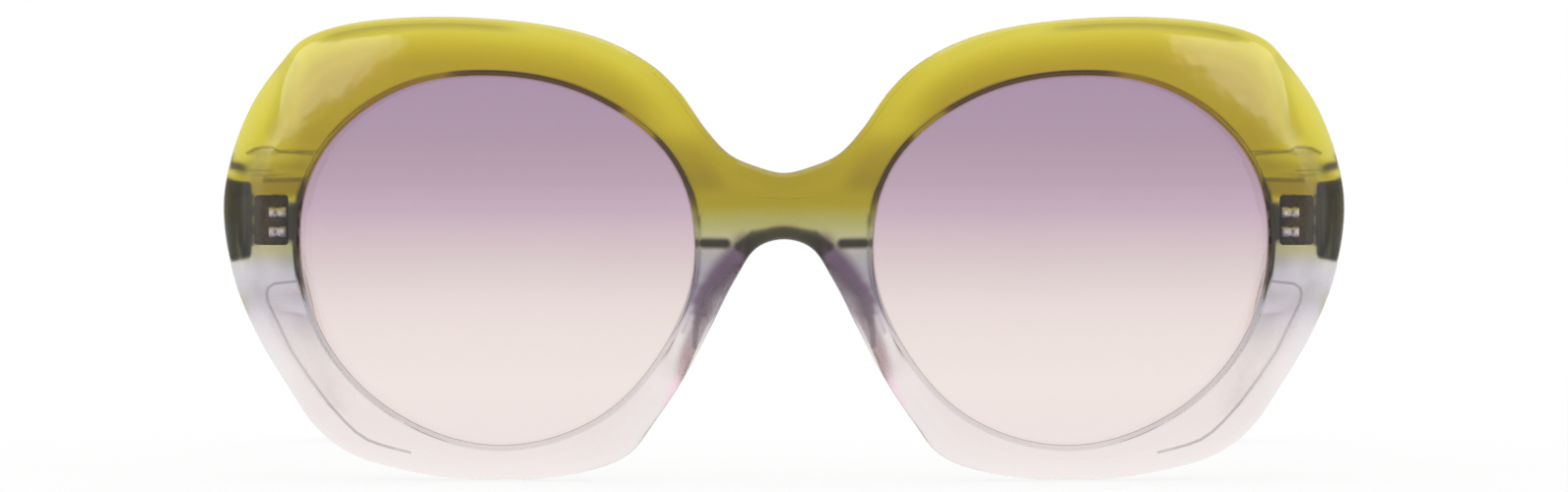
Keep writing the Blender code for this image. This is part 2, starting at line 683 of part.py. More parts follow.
class TemplePath:
    """The temple's centre line: a gentle slope, a bend behind the ear and a straight tail to the tip."""

    def __init__(self):
        self.bend_length = BEND_RADIUS * (TIP_DROP - TEMPLE_SLOPE)
        after_bend = (HINGE_Z - STRAIGHT_LENGTH * math.sin(TEMPLE_SLOPE)
                      - BEND_RADIUS * (math.cos(TEMPLE_SLOPE) - math.cos(TIP_DROP)))
        self.tip_radius = TIP_HEIGHT / 2
        self.tail_length = (after_bend - self.tip_radius + STANDING_FLAT) / math.sin(TIP_DROP)
        self.length = STRAIGHT_LENGTH + self.bend_length + self.tail_length

    def at(self, reach):
        """Returns the centre line's point and its slope at a distance from the hinge."""
        straight = min(reach, STRAIGHT_LENGTH)
        bent = min(max(reach - STRAIGHT_LENGTH, 0), self.bend_length)
        tail = max(reach - STRAIGHT_LENGTH - self.bend_length, 0)
        slope = TEMPLE_SLOPE + bent / BEND_RADIUS
        y = (TEMPLE_START_Y + straight * math.cos(TEMPLE_SLOPE)
             + BEND_RADIUS * (math.sin(slope) - math.sin(TEMPLE_SLOPE)) + tail * math.cos(slope))
        z = (HINGE_Z - straight * math.sin(TEMPLE_SLOPE)
             - BEND_RADIUS * (math.cos(TEMPLE_SLOPE) - math.cos(slope)) - tail * math.sin(slope))
        bow = TIP_BOW * (max(reach - BOW_START, 0) / (self.length - BOW_START)) ** 2
        return Vector((TEMPLE_X - bow, y, z)), slope

    def half_height(self, reach):
        """Returns half the temple's height: full at the hinge, slim at the bend, wide again at the tip."""
        slimming = float(ramp(reach, TEMPLE_PLATE_LENGTH, STRAIGHT_LENGTH))
        widening = float(ramp(reach, STRAIGHT_LENGTH, self.length))
        slimmed = TEMPLE_HEIGHT + (NECK_HEIGHT - TEMPLE_HEIGHT) * slimming
        return (slimmed + (TIP_HEIGHT - NECK_HEIGHT) * widening) / 2

    def stops(self):
        """Returns the sections' distances, and how far each has closed in on the round tip in radians."""
        bend_end = STRAIGHT_LENGTH + self.bend_length
        runs = [(STRAIGHT_LENGTH * step / STRAIGHT_STEPS, 0) for step in range(STRAIGHT_STEPS)]
        runs += [(STRAIGHT_LENGTH + self.bend_length * step / BEND_STEPS, 0) for step in range(BEND_STEPS)]
        runs += [(bend_end + self.tail_length * step / TAIL_STEPS, 0) for step in range(TAIL_STEPS + 1)]
        for degrees in TIP_ANGLES:
            turned = math.radians(degrees)
            runs.append((self.length + self.tip_radius * math.sin(turned), turned))
        return runs


def temple(bench, path, finish):
    """Makes the right temple: sections along its path, with a hinge pocket and a bore for the core."""
    sections = []
    for reach, closing in path.stops():
        centre, slope = path.at(reach)
        lean = slope * float(ramp(reach, 0, 2 * TEMPLE_PLATE_LENGTH))
        up = Vector((0, math.sin(lean), math.cos(lean)))
        half_height = path.half_height(min(reach, path.length)) * math.cos(closing)
        half_thickness = TEMPLE_THICKNESS / 2 * math.cos(closing) ** 0.5
        section = []
        for index in range(TEMPLE_SIDES):
            turned = 2 * math.pi * (index + 0.5) / TEMPLE_SIDES
            across = math.copysign(abs(math.cos(turned)) ** CORNER_POWER, math.cos(turned))
            rise = math.copysign(abs(math.sin(turned)) ** CORNER_POWER, math.sin(turned))
            point = centre + Vector((across * half_thickness, 0, 0)) + up * rise * half_height
            point.z = max(point.z, 0.0)
            section.append(point)
        sections.append(section)
    made = bench.piece("temple_right", loft(sections, closed=False), finish)
    start = AXIS_Y - KNUCKLE_RADIUS
    pocket = box((TEMPLE_INNER_X - OVERRUN, BUTT_Y, HINGE_Z - PLATE_HEIGHT / 2 - SEAT_GAP),
                 (TEMPLE_INNER_X + PLATE_THICKNESS + SEAT_GAP, start + TEMPLE_PLATE_LENGTH + SEAT_GAP,
                  HINGE_Z + PLATE_HEIGHT / 2 + SEAT_GAP))
    boolean(made, bench.tool("temple_pocket", pocket), "DIFFERENCE")
    bore = wire_shape(path, TEMPLE_PLATE_LENGTH - PLATE_CORNER, path.length - CORE_TIP_WALL + SEAT_GAP,
                      CORE_RADIUS + SEAT_GAP)
    boolean(made, bench.tool("core_bore", bore), "DIFFERENCE")
    baked(made)
    smooth(made, TEMPLE_SHARP_ANGLE)
    return made


def wire_shape(path, start, end, radius):
    """Returns a round wire along the temple's path, as a welded mesh from a bevelled curve."""
    curve = bpy.data.curves.new("wire", "CURVE")
    curve.dimensions = "3D"
    curve.bevel_depth = radius
    curve.bevel_resolution = CORE_SIDES // 4
    curve.use_fill_caps = True
    run = curve.splines.new("POLY")
    run.points.add(CORE_STEPS)
    for index, point in enumerate(run.points):
        place = path.at(start + (end - start) * index / CORE_STEPS)[0]
        point.co = (*place, 1)
    guide = bpy.data.objects.new("wire", curve)
    bpy.context.scene.collection.objects.link(guide)
    depsgraph = bpy.context.evaluated_depsgraph_get()
    mesh = bpy.data.meshes.new_from_object(guide.evaluated_get(depsgraph))
    shape = bmesh.new()
    shape.from_mesh(mesh)
    bmesh.ops.remove_doubles(shape, verts=shape.verts, dist=WELD_REACH)
    bpy.data.objects.remove(guide)
    bpy.data.meshes.remove(mesh)
    return shape


def temple_core(bench, path, finish):
    """Makes the right core: a wire from behind the hinge plate nearly to the tip."""
    start = AXIS_Y - KNUCKLE_RADIUS - TEMPLE_START_Y + TEMPLE_PLATE_LENGTH + 2 * SEAT_GAP
    shape = wire_shape(path, start, path.length - CORE_TIP_WALL, CORE_RADIUS)
    made = bench.piece("temple_core_right", shape, finish)
    smooth(made)
    return made


def hinge_empty(bench, name, x):
    """Adds an empty on a hinge's axis, which its temple turns about."""
    empty = bpy.data.objects.new(name, None)
    empty.empty_display_size = KNUCKLE_RADIUS
    empty.location = (x, AXIS_Y, HINGE_Z)
    bench.parts.objects.link(empty)
    return empty


def hang(piece, empty):
    """Parents a piece to a hinge's empty, with its origin on the axis."""
    piece.data.transform(Matrix.Translation(-empty.location))
    piece.parent = empty


def centre_on_base(bench):
    """Moves the assembly along Y so that its origin lies under its middle."""
    bpy.context.view_layer.update()
    depths = [(piece.matrix_world @ vert.co).y
              for piece in bench.parts.objects if piece.type == "MESH" for vert in piece.data.vertices]
    shift = -(min(depths) + max(depths)) / 2
    for piece in bench.parts.objects:
        if piece.parent:
            continue
        if piece.type == "MESH":
            piece.data.transform(Matrix.Translation((0, shift, 0)))
        else:
            piece.location.y += shift
    for cutter in bench.cutters.objects:
        cutter.data.transform(Matrix.Translation((0, shift, 0)))
    return shift


def main():
    """Builds the sunglasses."""
    for old in list(bpy.data.objects):
        bpy.data.objects.remove(old)
    bench = Bench()
    acetate = material("laminated_acetate", "B4A532", 0.12, transmission=0.6)
    temple_acetate = material("temple_acetate", "8A7E3A", 0.15, transmission=0.6)
    tinted = material("tinted_lens", "C4AEBE", 0.03, transmission=0.9)
    pad_acetate = material("clear_acetate", "D8CCD2", 0.15, transmission=0.8)
    nickel = material("nickel_plate", "C9C6BC", 0.28, metallic=1.0)
    steel = material("steel_wire", "B8B8B4", 0.35, metallic=1.0)

    path = TemplePath()
    front_frame(bench, acetate)
    fixed = [
        lens(bench, tinted),
        nose_pad(bench, pad_acetate),
        front_leaf(bench, nickel),
        hinge_screw(bench, nickel),
    ]
    moving = [
        temple(bench, path, temple_acetate),
        temple_leaf(bench, nickel),
        temple_core(bench, path, steel),
    ]
    left = {}
    for piece in fixed + moving:
        left[piece.name] = bench.mirrored(piece, piece.name.replace("right", "left"))
        smooth(left[piece.name])
    for side, x in (("right", AXIS_X), ("left", -AXIS_X)):
        empty = hinge_empty(bench, f"hinge_axis_{side}", x)
        for piece in moving:
            hang(piece if side == "right" else left[piece.name], empty)
    shift = centre_on_base(bench)
    print("hinge axes at x", round(AXIS_X, 6), "y", round(AXIS_Y + shift, 6), "z", round(HINGE_Z, 6))
    print("butt plane y", round(BUTT_Y + shift, 6), "front y", round(shift, 6))


main()
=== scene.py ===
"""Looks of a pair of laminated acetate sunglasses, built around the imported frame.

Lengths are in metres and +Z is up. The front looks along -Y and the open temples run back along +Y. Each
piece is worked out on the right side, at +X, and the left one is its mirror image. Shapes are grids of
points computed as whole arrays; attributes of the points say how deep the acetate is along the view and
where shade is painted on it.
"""

import logging
import math
from dataclasses import dataclass, field
from enum import Enum

import bmesh
import bpy
import numpy as np
from bpy.types import Material, Node, NodeSocket, NodeTree, Object
from mathutils import Matrix, Quaternion, Vector


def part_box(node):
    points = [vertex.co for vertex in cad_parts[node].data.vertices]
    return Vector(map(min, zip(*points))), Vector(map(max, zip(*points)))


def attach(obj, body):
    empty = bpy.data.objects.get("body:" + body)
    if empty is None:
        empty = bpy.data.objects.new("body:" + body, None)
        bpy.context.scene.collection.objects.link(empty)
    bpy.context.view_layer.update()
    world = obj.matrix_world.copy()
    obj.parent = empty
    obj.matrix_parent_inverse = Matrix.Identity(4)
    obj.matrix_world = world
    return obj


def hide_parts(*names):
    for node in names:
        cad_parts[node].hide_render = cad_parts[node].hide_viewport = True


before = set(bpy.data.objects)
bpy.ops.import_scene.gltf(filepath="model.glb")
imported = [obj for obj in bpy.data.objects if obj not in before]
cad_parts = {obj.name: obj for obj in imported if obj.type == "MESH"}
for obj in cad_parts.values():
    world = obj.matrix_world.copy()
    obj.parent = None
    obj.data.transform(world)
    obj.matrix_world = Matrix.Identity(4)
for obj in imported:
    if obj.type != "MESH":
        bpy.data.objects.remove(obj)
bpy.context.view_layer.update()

MM = 0.001
QUARTER_TURN = math.pi / 2
WELD = 1e-7
ON_PLANE = 1e-6
WHITE = (1.0, 1.0, 1.0, 1.0)
LOG = logging.getLogger("sunglasses")


class Side(Enum):
    """Sides of the wearer's view, with the sign of X on each."""

    RIGHT = 1
    LEFT = -1

    @property
    def word(self) -> str:
        """The side as the frame's nodes name it."""
        return self.name.lower()


class Slot(Enum):
    """Material slots of the record."""

    FRONT = "front_acetate"
    TEMPLE = "temple_acetate"
    LENS = "lens"
    HINGE = "hinge_metal"
    SCREW = "screw_metal"
    CORE = "core_wire"


def linear(hex_code: str) -> tuple[float, float, float, float]:
    """Turns an sRGB hex code to a linear colour.

    Args:
        hex_code: Six hex digits.

    Returns:
        Red, green, blue and an alpha of 1.
    """
    parts = [int(hex_code[start:start + 2], 16) / 255 for start in (0, 2, 4)]
    bent = [part / 12.92 if part <= 0.04045 else ((part + 0.055) / 1.055) ** 2.4 for part in parts]
    return tuple(bent) + (1.0,)


def ramp(value: np.ndarray, start: float, end: float) -> np.ndarray:
    """Returns a smooth step: 3t squared less 2t cubed, where t goes from 0 at the start to 1 at the end."""
    share = np.clip((value - start) / (end - start), 0.0, 1.0)
    return share * share * (3.0 - 2.0 * share)


def within(value: np.ndarray, window: tuple) -> np.ndarray:
    """Returns how far values lie in a window with soft edges: a smooth step up, times one down if it has one.

    Args:
        value: The values.
        window: Where the share is 0 and where it's 1. A third limit says where it's 0 again. Of four limits
            the third says where it leaves 1.

    Returns:
        Shares from 0 to 1.
    """
    share = ramp(value, window[0], window[1])
    return share if len(window) == 2 else share * ramp(value, window[-1], window[-2])


def angles(count: int) -> np.ndarray:
    """Returns angles at equal steps round a circle."""
    return np.linspace(0, 2 * math.pi, count, endpoint=False)


def distance_to(points: np.ndarray, line: np.ndarray) -> np.ndarray:
    """Returns the distance of each point to a closed line: the least over its segments.

    Args:
        points: Array of any shape that ends in X and Z.
        line: Points of the line, in X and Z.

    Returns:
        Distances, in the points' shape.
    """
    flat = points.reshape(-1, 1, 2)
    starts, steps = line[None], (np.roll(line, -1, axis=0) - line)[None]
    share = np.clip(((flat - starts) * steps).sum(2) / np.maximum((steps ** 2).sum(2), 1e-12), 0, 1)
    return np.linalg.norm(flat - starts - steps * share[..., None], axis=2).min(1).reshape(points.shape[:-1])


class Nodes:
    """A node tree, with short ways to add to it."""

    def __init__(self, tree: NodeTree) -> None:
        """Takes the tree that gets the nodes."""
        self.tree = tree

    def feed(self, target: Node, inputs: dict) -> None:
        """Feeds a node's inputs.

        Args:
            target: The node.
            inputs: Input name or index to the output socket, or the plain value, that feeds it.
        """
        for key, source in inputs.items():
            if isinstance(source, NodeSocket):
                self.tree.links.new(source, target.inputs[key])
            else:
                target.inputs[key].default_value = source

    def add(self, kind: str, inputs: dict | None = None, **settings) -> Node:
        """Adds a node.

        Args:
            kind: The node's type name, less the ShaderNode that it starts with.
            inputs: What feeds its inputs.
            **settings: The node's own properties.

        Returns:
            The node.
        """
        made = self.tree.nodes.new(f"ShaderNode{kind}")
        for name, value in settings.items():
            setattr(made, name, value)
        self.feed(made, inputs or {})
        return made

    def calc(self, operation: str, *values: NodeSocket | float) -> NodeSocket:
        """Returns the result of a sum over values."""
        return self.add("Math", dict(enumerate(values)), operation=operation).outputs[0]

    def mapped(self, value: NodeSocket, source: tuple, target: tuple, smooth: bool = False) -> NodeSocket:
        """Maps one range of values to another.

        Args:
            value: The value.
            source: The value's two limits.
            target: The results at those limits.
            smooth: Whether the result eases in and out.

        Returns:
            The result.
        """
        kind = "SMOOTHSTEP" if smooth else "LINEAR"
        inputs = dict(enumerate((value, *source, *target)))
        return self.add("MapRange", inputs, interpolation_type=kind).outputs[0]


class Finish(Nodes):
    """A material on its way, with the place on the object that its patterns follow."""

    stroke_fade = (0.4, 1.6)

    def __init__(self, name: str) -> None:
        """Starts a material.

        Args:
            name: The real material's name.
        """
        self.made = bpy.data.materials.new(name)
        self.made.use_nodes = True
        super().__init__(self.made.node_tree)
        self.place = self.add("TexCoord").outputs["Object"]

    def done(self, inputs: dict) -> Material:
        """Feeds the shader's inputs and returns the material."""
        self.feed(self.tree.nodes["Principled BSDF"], inputs)
        return self.made

    def attribute(self, name: str) -> NodeSocket:
        """Returns an attribute of the mesh."""
        return self.add("Attribute", attribute_name=name).outputs["Fac"]

    def noise(self, width: float, detail: float) -> NodeSocket:
        """Returns a noise whose marks have a real width."""
        made = self.add("TexNoise", {"Vector": self.place, "Scale": 1 / width, "Detail": detail})
        return made.outputs["Fac"]

    def drifted(self, value: NodeSocket, noise: NodeSocket, reach: float) -> NodeSocket:
        """Returns a value that a noise moves by up to half a reach each way."""
        return self.calc("MULTIPLY_ADD", self.calc("SUBTRACT", noise, 0.5), reach, value)

    def relief(self, height: NodeSocket, strength: float, distance: float) -> NodeSocket:
        """Returns the normal of a surface that a height dents."""
        made = self.add("Bump", {"Height": height, "Strength": strength, "Distance": distance})
        return made.outputs["Normal"]

    def gloss(self, noise: NodeSocket, low: float, high: float) -> NodeSocket:
        """Returns a roughness that follows a noise between two values."""
        return self.mapped(noise, (0.0, 1.0), (low, high))

    def covered(self, under: NodeSocket, over: str, share: NodeSocket) -> NodeSocket:
        """Returns a colour covered with a hex code's colour by a share."""
        return self.add("Mix", {"Factor": share, 6: under, 7: linear(over)}, data_type="RGBA").outputs[2]

    def shades(self, share: NodeSocket, places: tuple | list) -> NodeSocket:
        """Looks a colour up.

        Args:
            share: The place on the scale, from 0 to 1.
            places: Position and hex code of each stop, from the lowest up.

        Returns:
            The colour.
        """
        made = self.add("ValToRGB", {"Fac": share})
        elements = made.color_ramp.elements
        while len(elements) > 1:
            elements.remove(elements[-1])
        elements[0].position, elements[0].color = places[0][0], linear(places[0][1])
        for position, hex_code in places[1:]:
            elements.new(position).color = linear(hex_code)
        return made.outputs["Color"]

    def strokes(self, lines: tuple) -> NodeSocket:
        """Draws soft strokes, alike on both sides: each fades with the distance to its straight middle line.

        Args:
            lines: Lines of points. A point has its X and Z, and the half width, all in millimetres, and the
                strength of the stroke that runs on from it.

        Returns:
            The strength of the strongest stroke at the place.
        """
        apart = self.add("SeparateXYZ", {0: self.place}).outputs
        across = self.calc("ABSOLUTE", apart["X"])
        flat = self.add("CombineXYZ", {0: across, 1: 0.0, 2: apart["Z"]}).outputs[0]
        total = None
        for (x, z, half_width, strength), (end_x, end_z, *_) in (
                pair for line in lines for pair in zip(line, line[1:])):
            start = Vector((x, 0, z)) * MM
            run = Vector((end_x, 0, end_z)) * MM - start
            out = self.add("VectorMath", {0: flat, 1: start}, operation="SUBTRACT").outputs[0]
            along = self.add("VectorMath", {0: out, 1: run / run.length_squared}, operation="DOT_PRODUCT")
            held = self.add("Clamp", {0: along.outputs["Value"]}).outputs[0]
            foot = self.add("VectorMath", {0: run, "Scale": held}, operation="SCALE").outputs[0]
            away = self.add("VectorMath", {0: out, 1: foot}, operation="DISTANCE").outputs["Value"]
            fade = [half_width * MM * share for share in self.stroke_fade]
            drawn = self.mapped(away, fade, (strength, 0.0), smooth=True)
            total = self.calc("MAXIMUM", total, drawn) if total else drawn
        return total


@dataclass(frozen=True)
class LaminatedAcetate:
    """Laminated cellulose acetate, milled and tumble polished: clear, glossy and coloured in level layers.

    The eye gets a deep olive layer above a grey and a rosy clear one. The colour deepens with the length of
    acetate along the view, so thin edges look pale: colour = layer colour to the power of that length. Steps
    and steep walls behind, seen through the front, turn light away; they are painted on as lines and bands of
    shade, and a pale stroke of painted light lies by the nose, all as tables of strokes. Layers are heights
    in millimetres with their colours. Tumble polishing leaves a very shallow orange peel.
    """

    ior: float = 1.49
    roughness: float = 0.022
    uneven_gloss: float = 1.6
    satin: float = 0.3
    specular: float = 0.22
    streak_width: float = 6.0 * MM
    border_drift: float = 0.6 * MM
    bend_reach: tuple = (22.0 * MM, 62.0 * MM)
    drop: float = 1.5 * MM
    peel_width: float = 2.5 * MM
    peel_strength: float = 0.06
    peel_depth: float = 0.05 * MM
    # Painted shade: the dark brown that the shade lines and bars cover the acetate with.
    dark: str = "1D160B"
    # Painted shade: the purple of walls behind that turn light away.
    dusk: str = "4C1F4B"
    # Painted light: the pale pink of the light strokes by the nose.
    glow: str = "FFD6E8"
    # Painted shade: lines where steps behind turn light away, drawn on the back only.
    shade_edge_strokes: tuple = (
        ((68.5, 41.7, 0.2, 0.8), (67.7, 42.3, 0.2, 0.8), (66.7, 42.6, 0.2, 0.75), (65.6, 42.6, 0.18, 0.65),
         (64.8, 42.1, 0.18, 0.65), (60.4, 41.7)),
        ((71.3, 40.0, 0.6, 1.0), (69.4, 39.9)),
        ((69.3, 39.7, 0.14, 0.55), (65.7, 39.6)),
        ((66.6, 38.4, 0.32, 0.75), (61.0, 38.5)),
        ((63.0, 53.3, 0.9, 0.22), (65.5, 44.5)),
    )
    # Painted shade: purple bands along the lower rim and down the nose pad's side.
    shade_wall_strokes: tuple = (
        ((62.7, 25.4, 0.17, 0.42), (65.4, 25.1, 0.17, 0.42), (66.2, 24.6, 0.17, 0.42),
         (66.4, 23.8, 0.17, 0.4), (66.2, 22.7, 0.16, 0.36), (63.2, 16.5, 0.16, 0.34),
         (60.7, 12.8, 0.16, 0.36), (58.3, 9.6, 0.17, 0.4), (56.3, 7.4, 0.17, 0.42), (54.9, 6.1, 0.17, 0.42),
         (53.4, 5.1, 0.17, 0.42), (51.8, 4.5, 0.16, 0.4), (50.0, 4.0, 0.15, 0.36), (47.9, 3.5)),
        ((4.8, 30.2, 1.3, 0.82), (6.0, 28.8, 1.55, 0.83), (7.3, 27.2, 1.55, 0.83), (8.65, 25.5, 1.3, 0.83),
         (9.9, 24.2, 1.15, 0.82), (10.6, 22.9, 0.9, 0.78), (10.8, 21.6, 0.5, 0.74), (11.1, 20.2, 0.42, 0.7),
         (11.3, 19.0, 0.34, 0.66), (11.4, 17.2)),
        ((10.9, 23.2, 0.3, 0.45), (11.8, 21.4, 0.25, 0.3), (12.8, 19.0)),
    )
    # Painted shade: dark bars under the bridge and beside the hinge, on both faces.
    shade_bars: tuple = (
        ((10.3, 30.4, 0.66, 0.97), (7.4, 30.35)),
        ((68.3, 36.2, 0.45, 0.85), (68.3, 30.4)),
        ((68.9, 37.7, 0.36, 0.85), (68.9, 29.0)),
        ((5.8, 30.0, 0.6, 0.88), (4.7, 30.8, 0.6, 0.9), (3.9, 31.5, 0.55, 0.9), (2.6, 31.8)),
    )
    # Painted light: a pale strip by the nose pad's lower end.
    painted_light_strokes: tuple = (
        ((12.3, 16.6, 0.7, 1.0), (12.8, 14.2, 0.7, 1.0), (14.1, 11.9, 0.5, 0.8), (15.1, 10.0)),
    )
    layers: tuple = (
        (0.0, "F3EAE8"), (10.0, "EDE4E3"), (16.0, "F1E8E7"), (19.0, "EBE2E3"), (21.5, "DFD7DC"),
        (24.0, "D2CCD5"), (27.8, "CBC6CD"), (29.2, "CAC6C4"), (30.9, "CDC9AC"), (33.8, "CCC78C"),
        (35.6, "C9BD40"), (48.0, "D1C334"), (60.0, "D6C73F"),
    )

    def layer(self, finish: Finish, wander: NodeSocket) -> NodeSocket:
        """Adds the layers, which drop towards the ends, since the sheet was bent to the wrap.

        Args:
            finish: The material on its way.
            wander: The noise that moves the layers' borders, as in any pressed sheet.

        Returns:
            The layer's colour.
        """
        apart = finish.add("SeparateXYZ", {0: finish.place}).outputs
        outwards = finish.calc("ABSOLUTE", apart["X"])
        lowered = finish.mapped(outwards, self.bend_reach, (0.0, self.drop), smooth=True)
        height = finish.drifted(finish.calc("ADD", apart["Z"], lowered), wander, self.border_drift)
        top = self.layers[-1][0]
        share = finish.calc("DIVIDE", height, top * MM)
        return finish.shades(share, [(z / top, code) for z, code in self.layers])

    def material(self) -> Material:
        """Makes the front's material.

        It reads four attributes: depth, the length of acetate along the view, with painted shade beside the
        lens;
        shade, the strength of dark lines of painted shade; back, 1 on the back, where alone the painted edge
        lines are drawn; and satin, the share of a duller polish.

        Returns:
            The material.
        """
        finish = Finish("laminated_cellulose_acetate")
        wander = finish.noise(self.streak_width, detail=2.0)
        deep = finish.add("Gamma", {"Color": self.layer(finish, wander), "Gamma": finish.attribute("depth")})
        # Painted shade: purple bands where walls behind turn light away.
        dusky = finish.covered(deep.outputs["Color"], self.dusk, finish.strokes(self.shade_wall_strokes))
        # Painted light: pale pink strokes by the nose.
        lit = finish.covered(dusky, self.glow, finish.strokes(self.painted_light_strokes))
        # Painted shade: edge lines on the back, the shade attribute's lines and the dark bars.
        edges = finish.calc("MULTIPLY_ADD", finish.strokes(self.shade_edge_strokes), finish.attribute("back"),
                            finish.attribute("shade"))
        darkest = finish.calc("MAXIMUM", edges, finish.strokes(self.shade_bars))
        gloss = finish.gloss(wander, self.roughness, self.roughness * self.uneven_gloss)
        peel = finish.noise(self.peel_width, detail=1.0)
        return finish.done({
            "Base Color": finish.covered(lit, self.dark, darkest),
            "Normal": finish.relief(peel, self.peel_strength, self.peel_depth),
            "Roughness": finish.calc("MULTIPLY_ADD", finish.attribute("satin"), self.satin, gloss),
            "IOR": self.ior, "Specular IOR Level": self.specular, "Transmission Weight": 1.0})


@dataclass(frozen=True)
class TempleAcetate:
    """Cellulose acetate from the same laminated block, so a temple fades from olive at the hinge to clear."""

    ior: float = 1.49
    roughness: float = 0.04
    uneven_gloss: float = 1.8
    specular: float = 0.3
    cloud_width: float = 14.0 * MM
    cloud_shift: float = 0.16
    fade: tuple = ((0.0, "A9973C"), (0.3, "B9AC6C"), (0.58, "EEEAE6"), (0.9, "F8F5F3"))
    saw_width: float = 1.2 * MM
    # Painted shade: the sawn end's dark tones, as no light comes back along the temple.
    end_shade_tones: tuple = ((0.3, "2F2B23"), (0.7, "3A352B"))
    saw_roughness: float = 0.45
    saw_strength: float = 0.3
    saw_depth: float = 0.05 * MM

    def material(self) -> Material:
        """Makes the temples' material. It reads the attribute run, 0 at the hinge and 1 at the tip.

        Returns:
            The material.
        """
        finish = Finish("gradient_cellulose_acetate")
        cloud = finish.noise(self.cloud_width, detail=3.0)
        run = finish.drifted(finish.attribute("run"), cloud, self.cloud_shift)
        return finish.done({
            "Base Color": finish.shades(run, self.fade),
            "Roughness": finish.gloss(cloud, self.roughness, self.roughness * self.uneven_gloss),
            "IOR": self.ior, "Specular IOR Level": self.specular, "Transmission Weight": 1.0})

    def end_material(self) -> Material:
        """Makes the sawn end's material, in painted shade: no light comes back along the temple's length.

        Returns:
            The material.
        """
        finish = Finish("sawn_acetate_end_in_shade")
        marks = finish.noise(self.saw_width, detail=4.0)
        return finish.done({
            "Base Color": finish.shades(marks, self.end_shade_tones),
            "Normal": finish.relief(marks, self.saw_strength, self.saw_depth),
            "Roughness": self.saw_roughness, "Specular IOR Level": self.specular})


@dataclass(frozen=True)
class GradientLens:
    """Cast plastic lens, dip dyed: mauve at the top, fading to faint rose. Polished, with a dull ground edge.

    The dye is a table of heights in millimetres with their colours.
    """

    ior: float = 1.5
    specular: float = 0.2
    cloud_width: float = 18.0 * MM
    cloud_shift: float = 1.2 * MM
    # Painted shade: the dull ground edge is darkened brownish, drawing the thin dark line round the lens.
    ground: str = "94797A"
    ground_roughness: float = 0.22
    dye: tuple = (
        (4.5, "EFE3E0"), (12.0, "EEE2DE"), (19.0, "EADDD9"), (23.0, "E4D6D4"), (27.5, "D8C8CA"),
        (31.0, "CFBBC2"), (34.5, "C3ABBA"), (38.0, "B89FAF"), (42.0, "B097A9"), (46.0, "AB91A8"),
        (52.0, "A78DA5"),
    )

    def material(self) -> Material:
        """Makes the lens's material. It reads the attribute edge, 1 on the ground edge.

        Returns:
            The material.
        """
        finish = Finish("dip_dyed_lens_plastic")
        height = finish.add("SeparateXYZ", {0: finish.place}).outputs["Z"]
        shifted = finish.drifted(height, finish.noise(self.cloud_width, detail=1.0), self.cloud_shift)
        low, high = self.dye[0][0], self.dye[-1][0]
        share = finish.mapped(shifted, (low * MM, high * MM), (0.0, 1.0))
        colour = finish.shades(share, [((z - low) / (high - low), code) for z, code in self.dye])
        edge = finish.attribute("edge")
        return finish.done({
            "Base Color": finish.covered(colour, self.ground, edge),
            "Roughness": finish.gloss(edge, 0.0, self.ground_roughness),
            "IOR": self.ior, "Specular IOR Level": self.specular, "Transmission Weight": 1.0})


@dataclass(frozen=True)
class Metal:
    """A metal with fine marks of its making, which break up its gloss. It's smoother where it's brighter."""

    name: str
    bright: str
    dim: str
    roughness: float
    mark_width: float
    stretch: tuple = (1.0, 1.0, 1.0)
    tone_places: tuple = (0.35, 0.65)
    dull_share: float = 1.5
    smooth_share: float = 0.7
    mark_strength: float = 0.15
    mark_depth: float = 0.02 * MM

    def material(self) -> Material:
        """Makes the metal's material.

        Returns:
            The material.
        """
        finish = Finish(self.name)
        finish.place = finish.add("Mapping", {"Vector": finish.place, "Scale": self.stretch}).outputs[0]
        marks = finish.noise(self.mark_width, detail=5.0)
        return finish.done({
            "Base Color": finish.shades(marks, list(zip(self.tone_places, (self.dim, self.bright)))),
            "Roughness": finish.gloss(marks, self.roughness * self.dull_share,
                                      self.roughness * self.smooth_share),
            "Normal": finish.relief(marks, self.mark_strength, self.mark_depth), "Metallic": 1.0})


@dataclass
class Skin:
    """A mesh on its way to being a piece: points, faces, the finish of each face and float attributes."""

    points: np.ndarray
    faces: list
    finishes: list = field(default_factory=list)
    attributes: dict = field(default_factory=dict)

    def joined(self, other: "Skin") -> "Skin":
        """Returns this skin and another as one, without attributes.

        Args:
            other: The other skin.

        Returns:
            The joined skin.
        """
        faces = self.faces + [[index + len(self.points) for index in face] for face in other.faces]
        finishes = [finish for skin in (self, other) for finish in skin.finishes or [0] * len(skin.faces)]
        return Skin(np.vstack([self.points, other.points]), faces, finishes)

    def on(self, side: Side) -> "Skin":
        """Returns this skin, or its mirror image with its faces turned outwards.

        Args:
            side: The side that the piece is for.

        Returns:
            This skin on the right, and the image on the left.
        """
        if side is Side.RIGHT:
            return self
        faces = [face[::-1] for face in self.faces]
        return Skin(self.points * [-1.0, 1.0, 1.0], faces, self.finishes, self.attributes)


def grid_faces(runs: int, around: int, closed_run: bool, closed_around: bool) -> list:
    """Returns the quads of a grid of points that is stored run by run.

    Args:
        runs: Number of runs.
        around: Number of points in each run.
        closed_run: Whether the last run joins the first.
        closed_around: Whether each run's last point joins its first.

    Returns:
        Lists of four point numbers.
    """
    index = np.arange(runs * around).reshape(runs, around)
    if closed_run:
        index = np.vstack([index, index[:1]])
    if closed_around:
        index = np.hstack([index, index[:, :1]])
    quads = np.stack([index[:-1, :-1], index[:-1, 1:], index[1:, 1:], index[1:, :-1]], axis=-1)
    return quads.reshape(-1, 4).tolist()


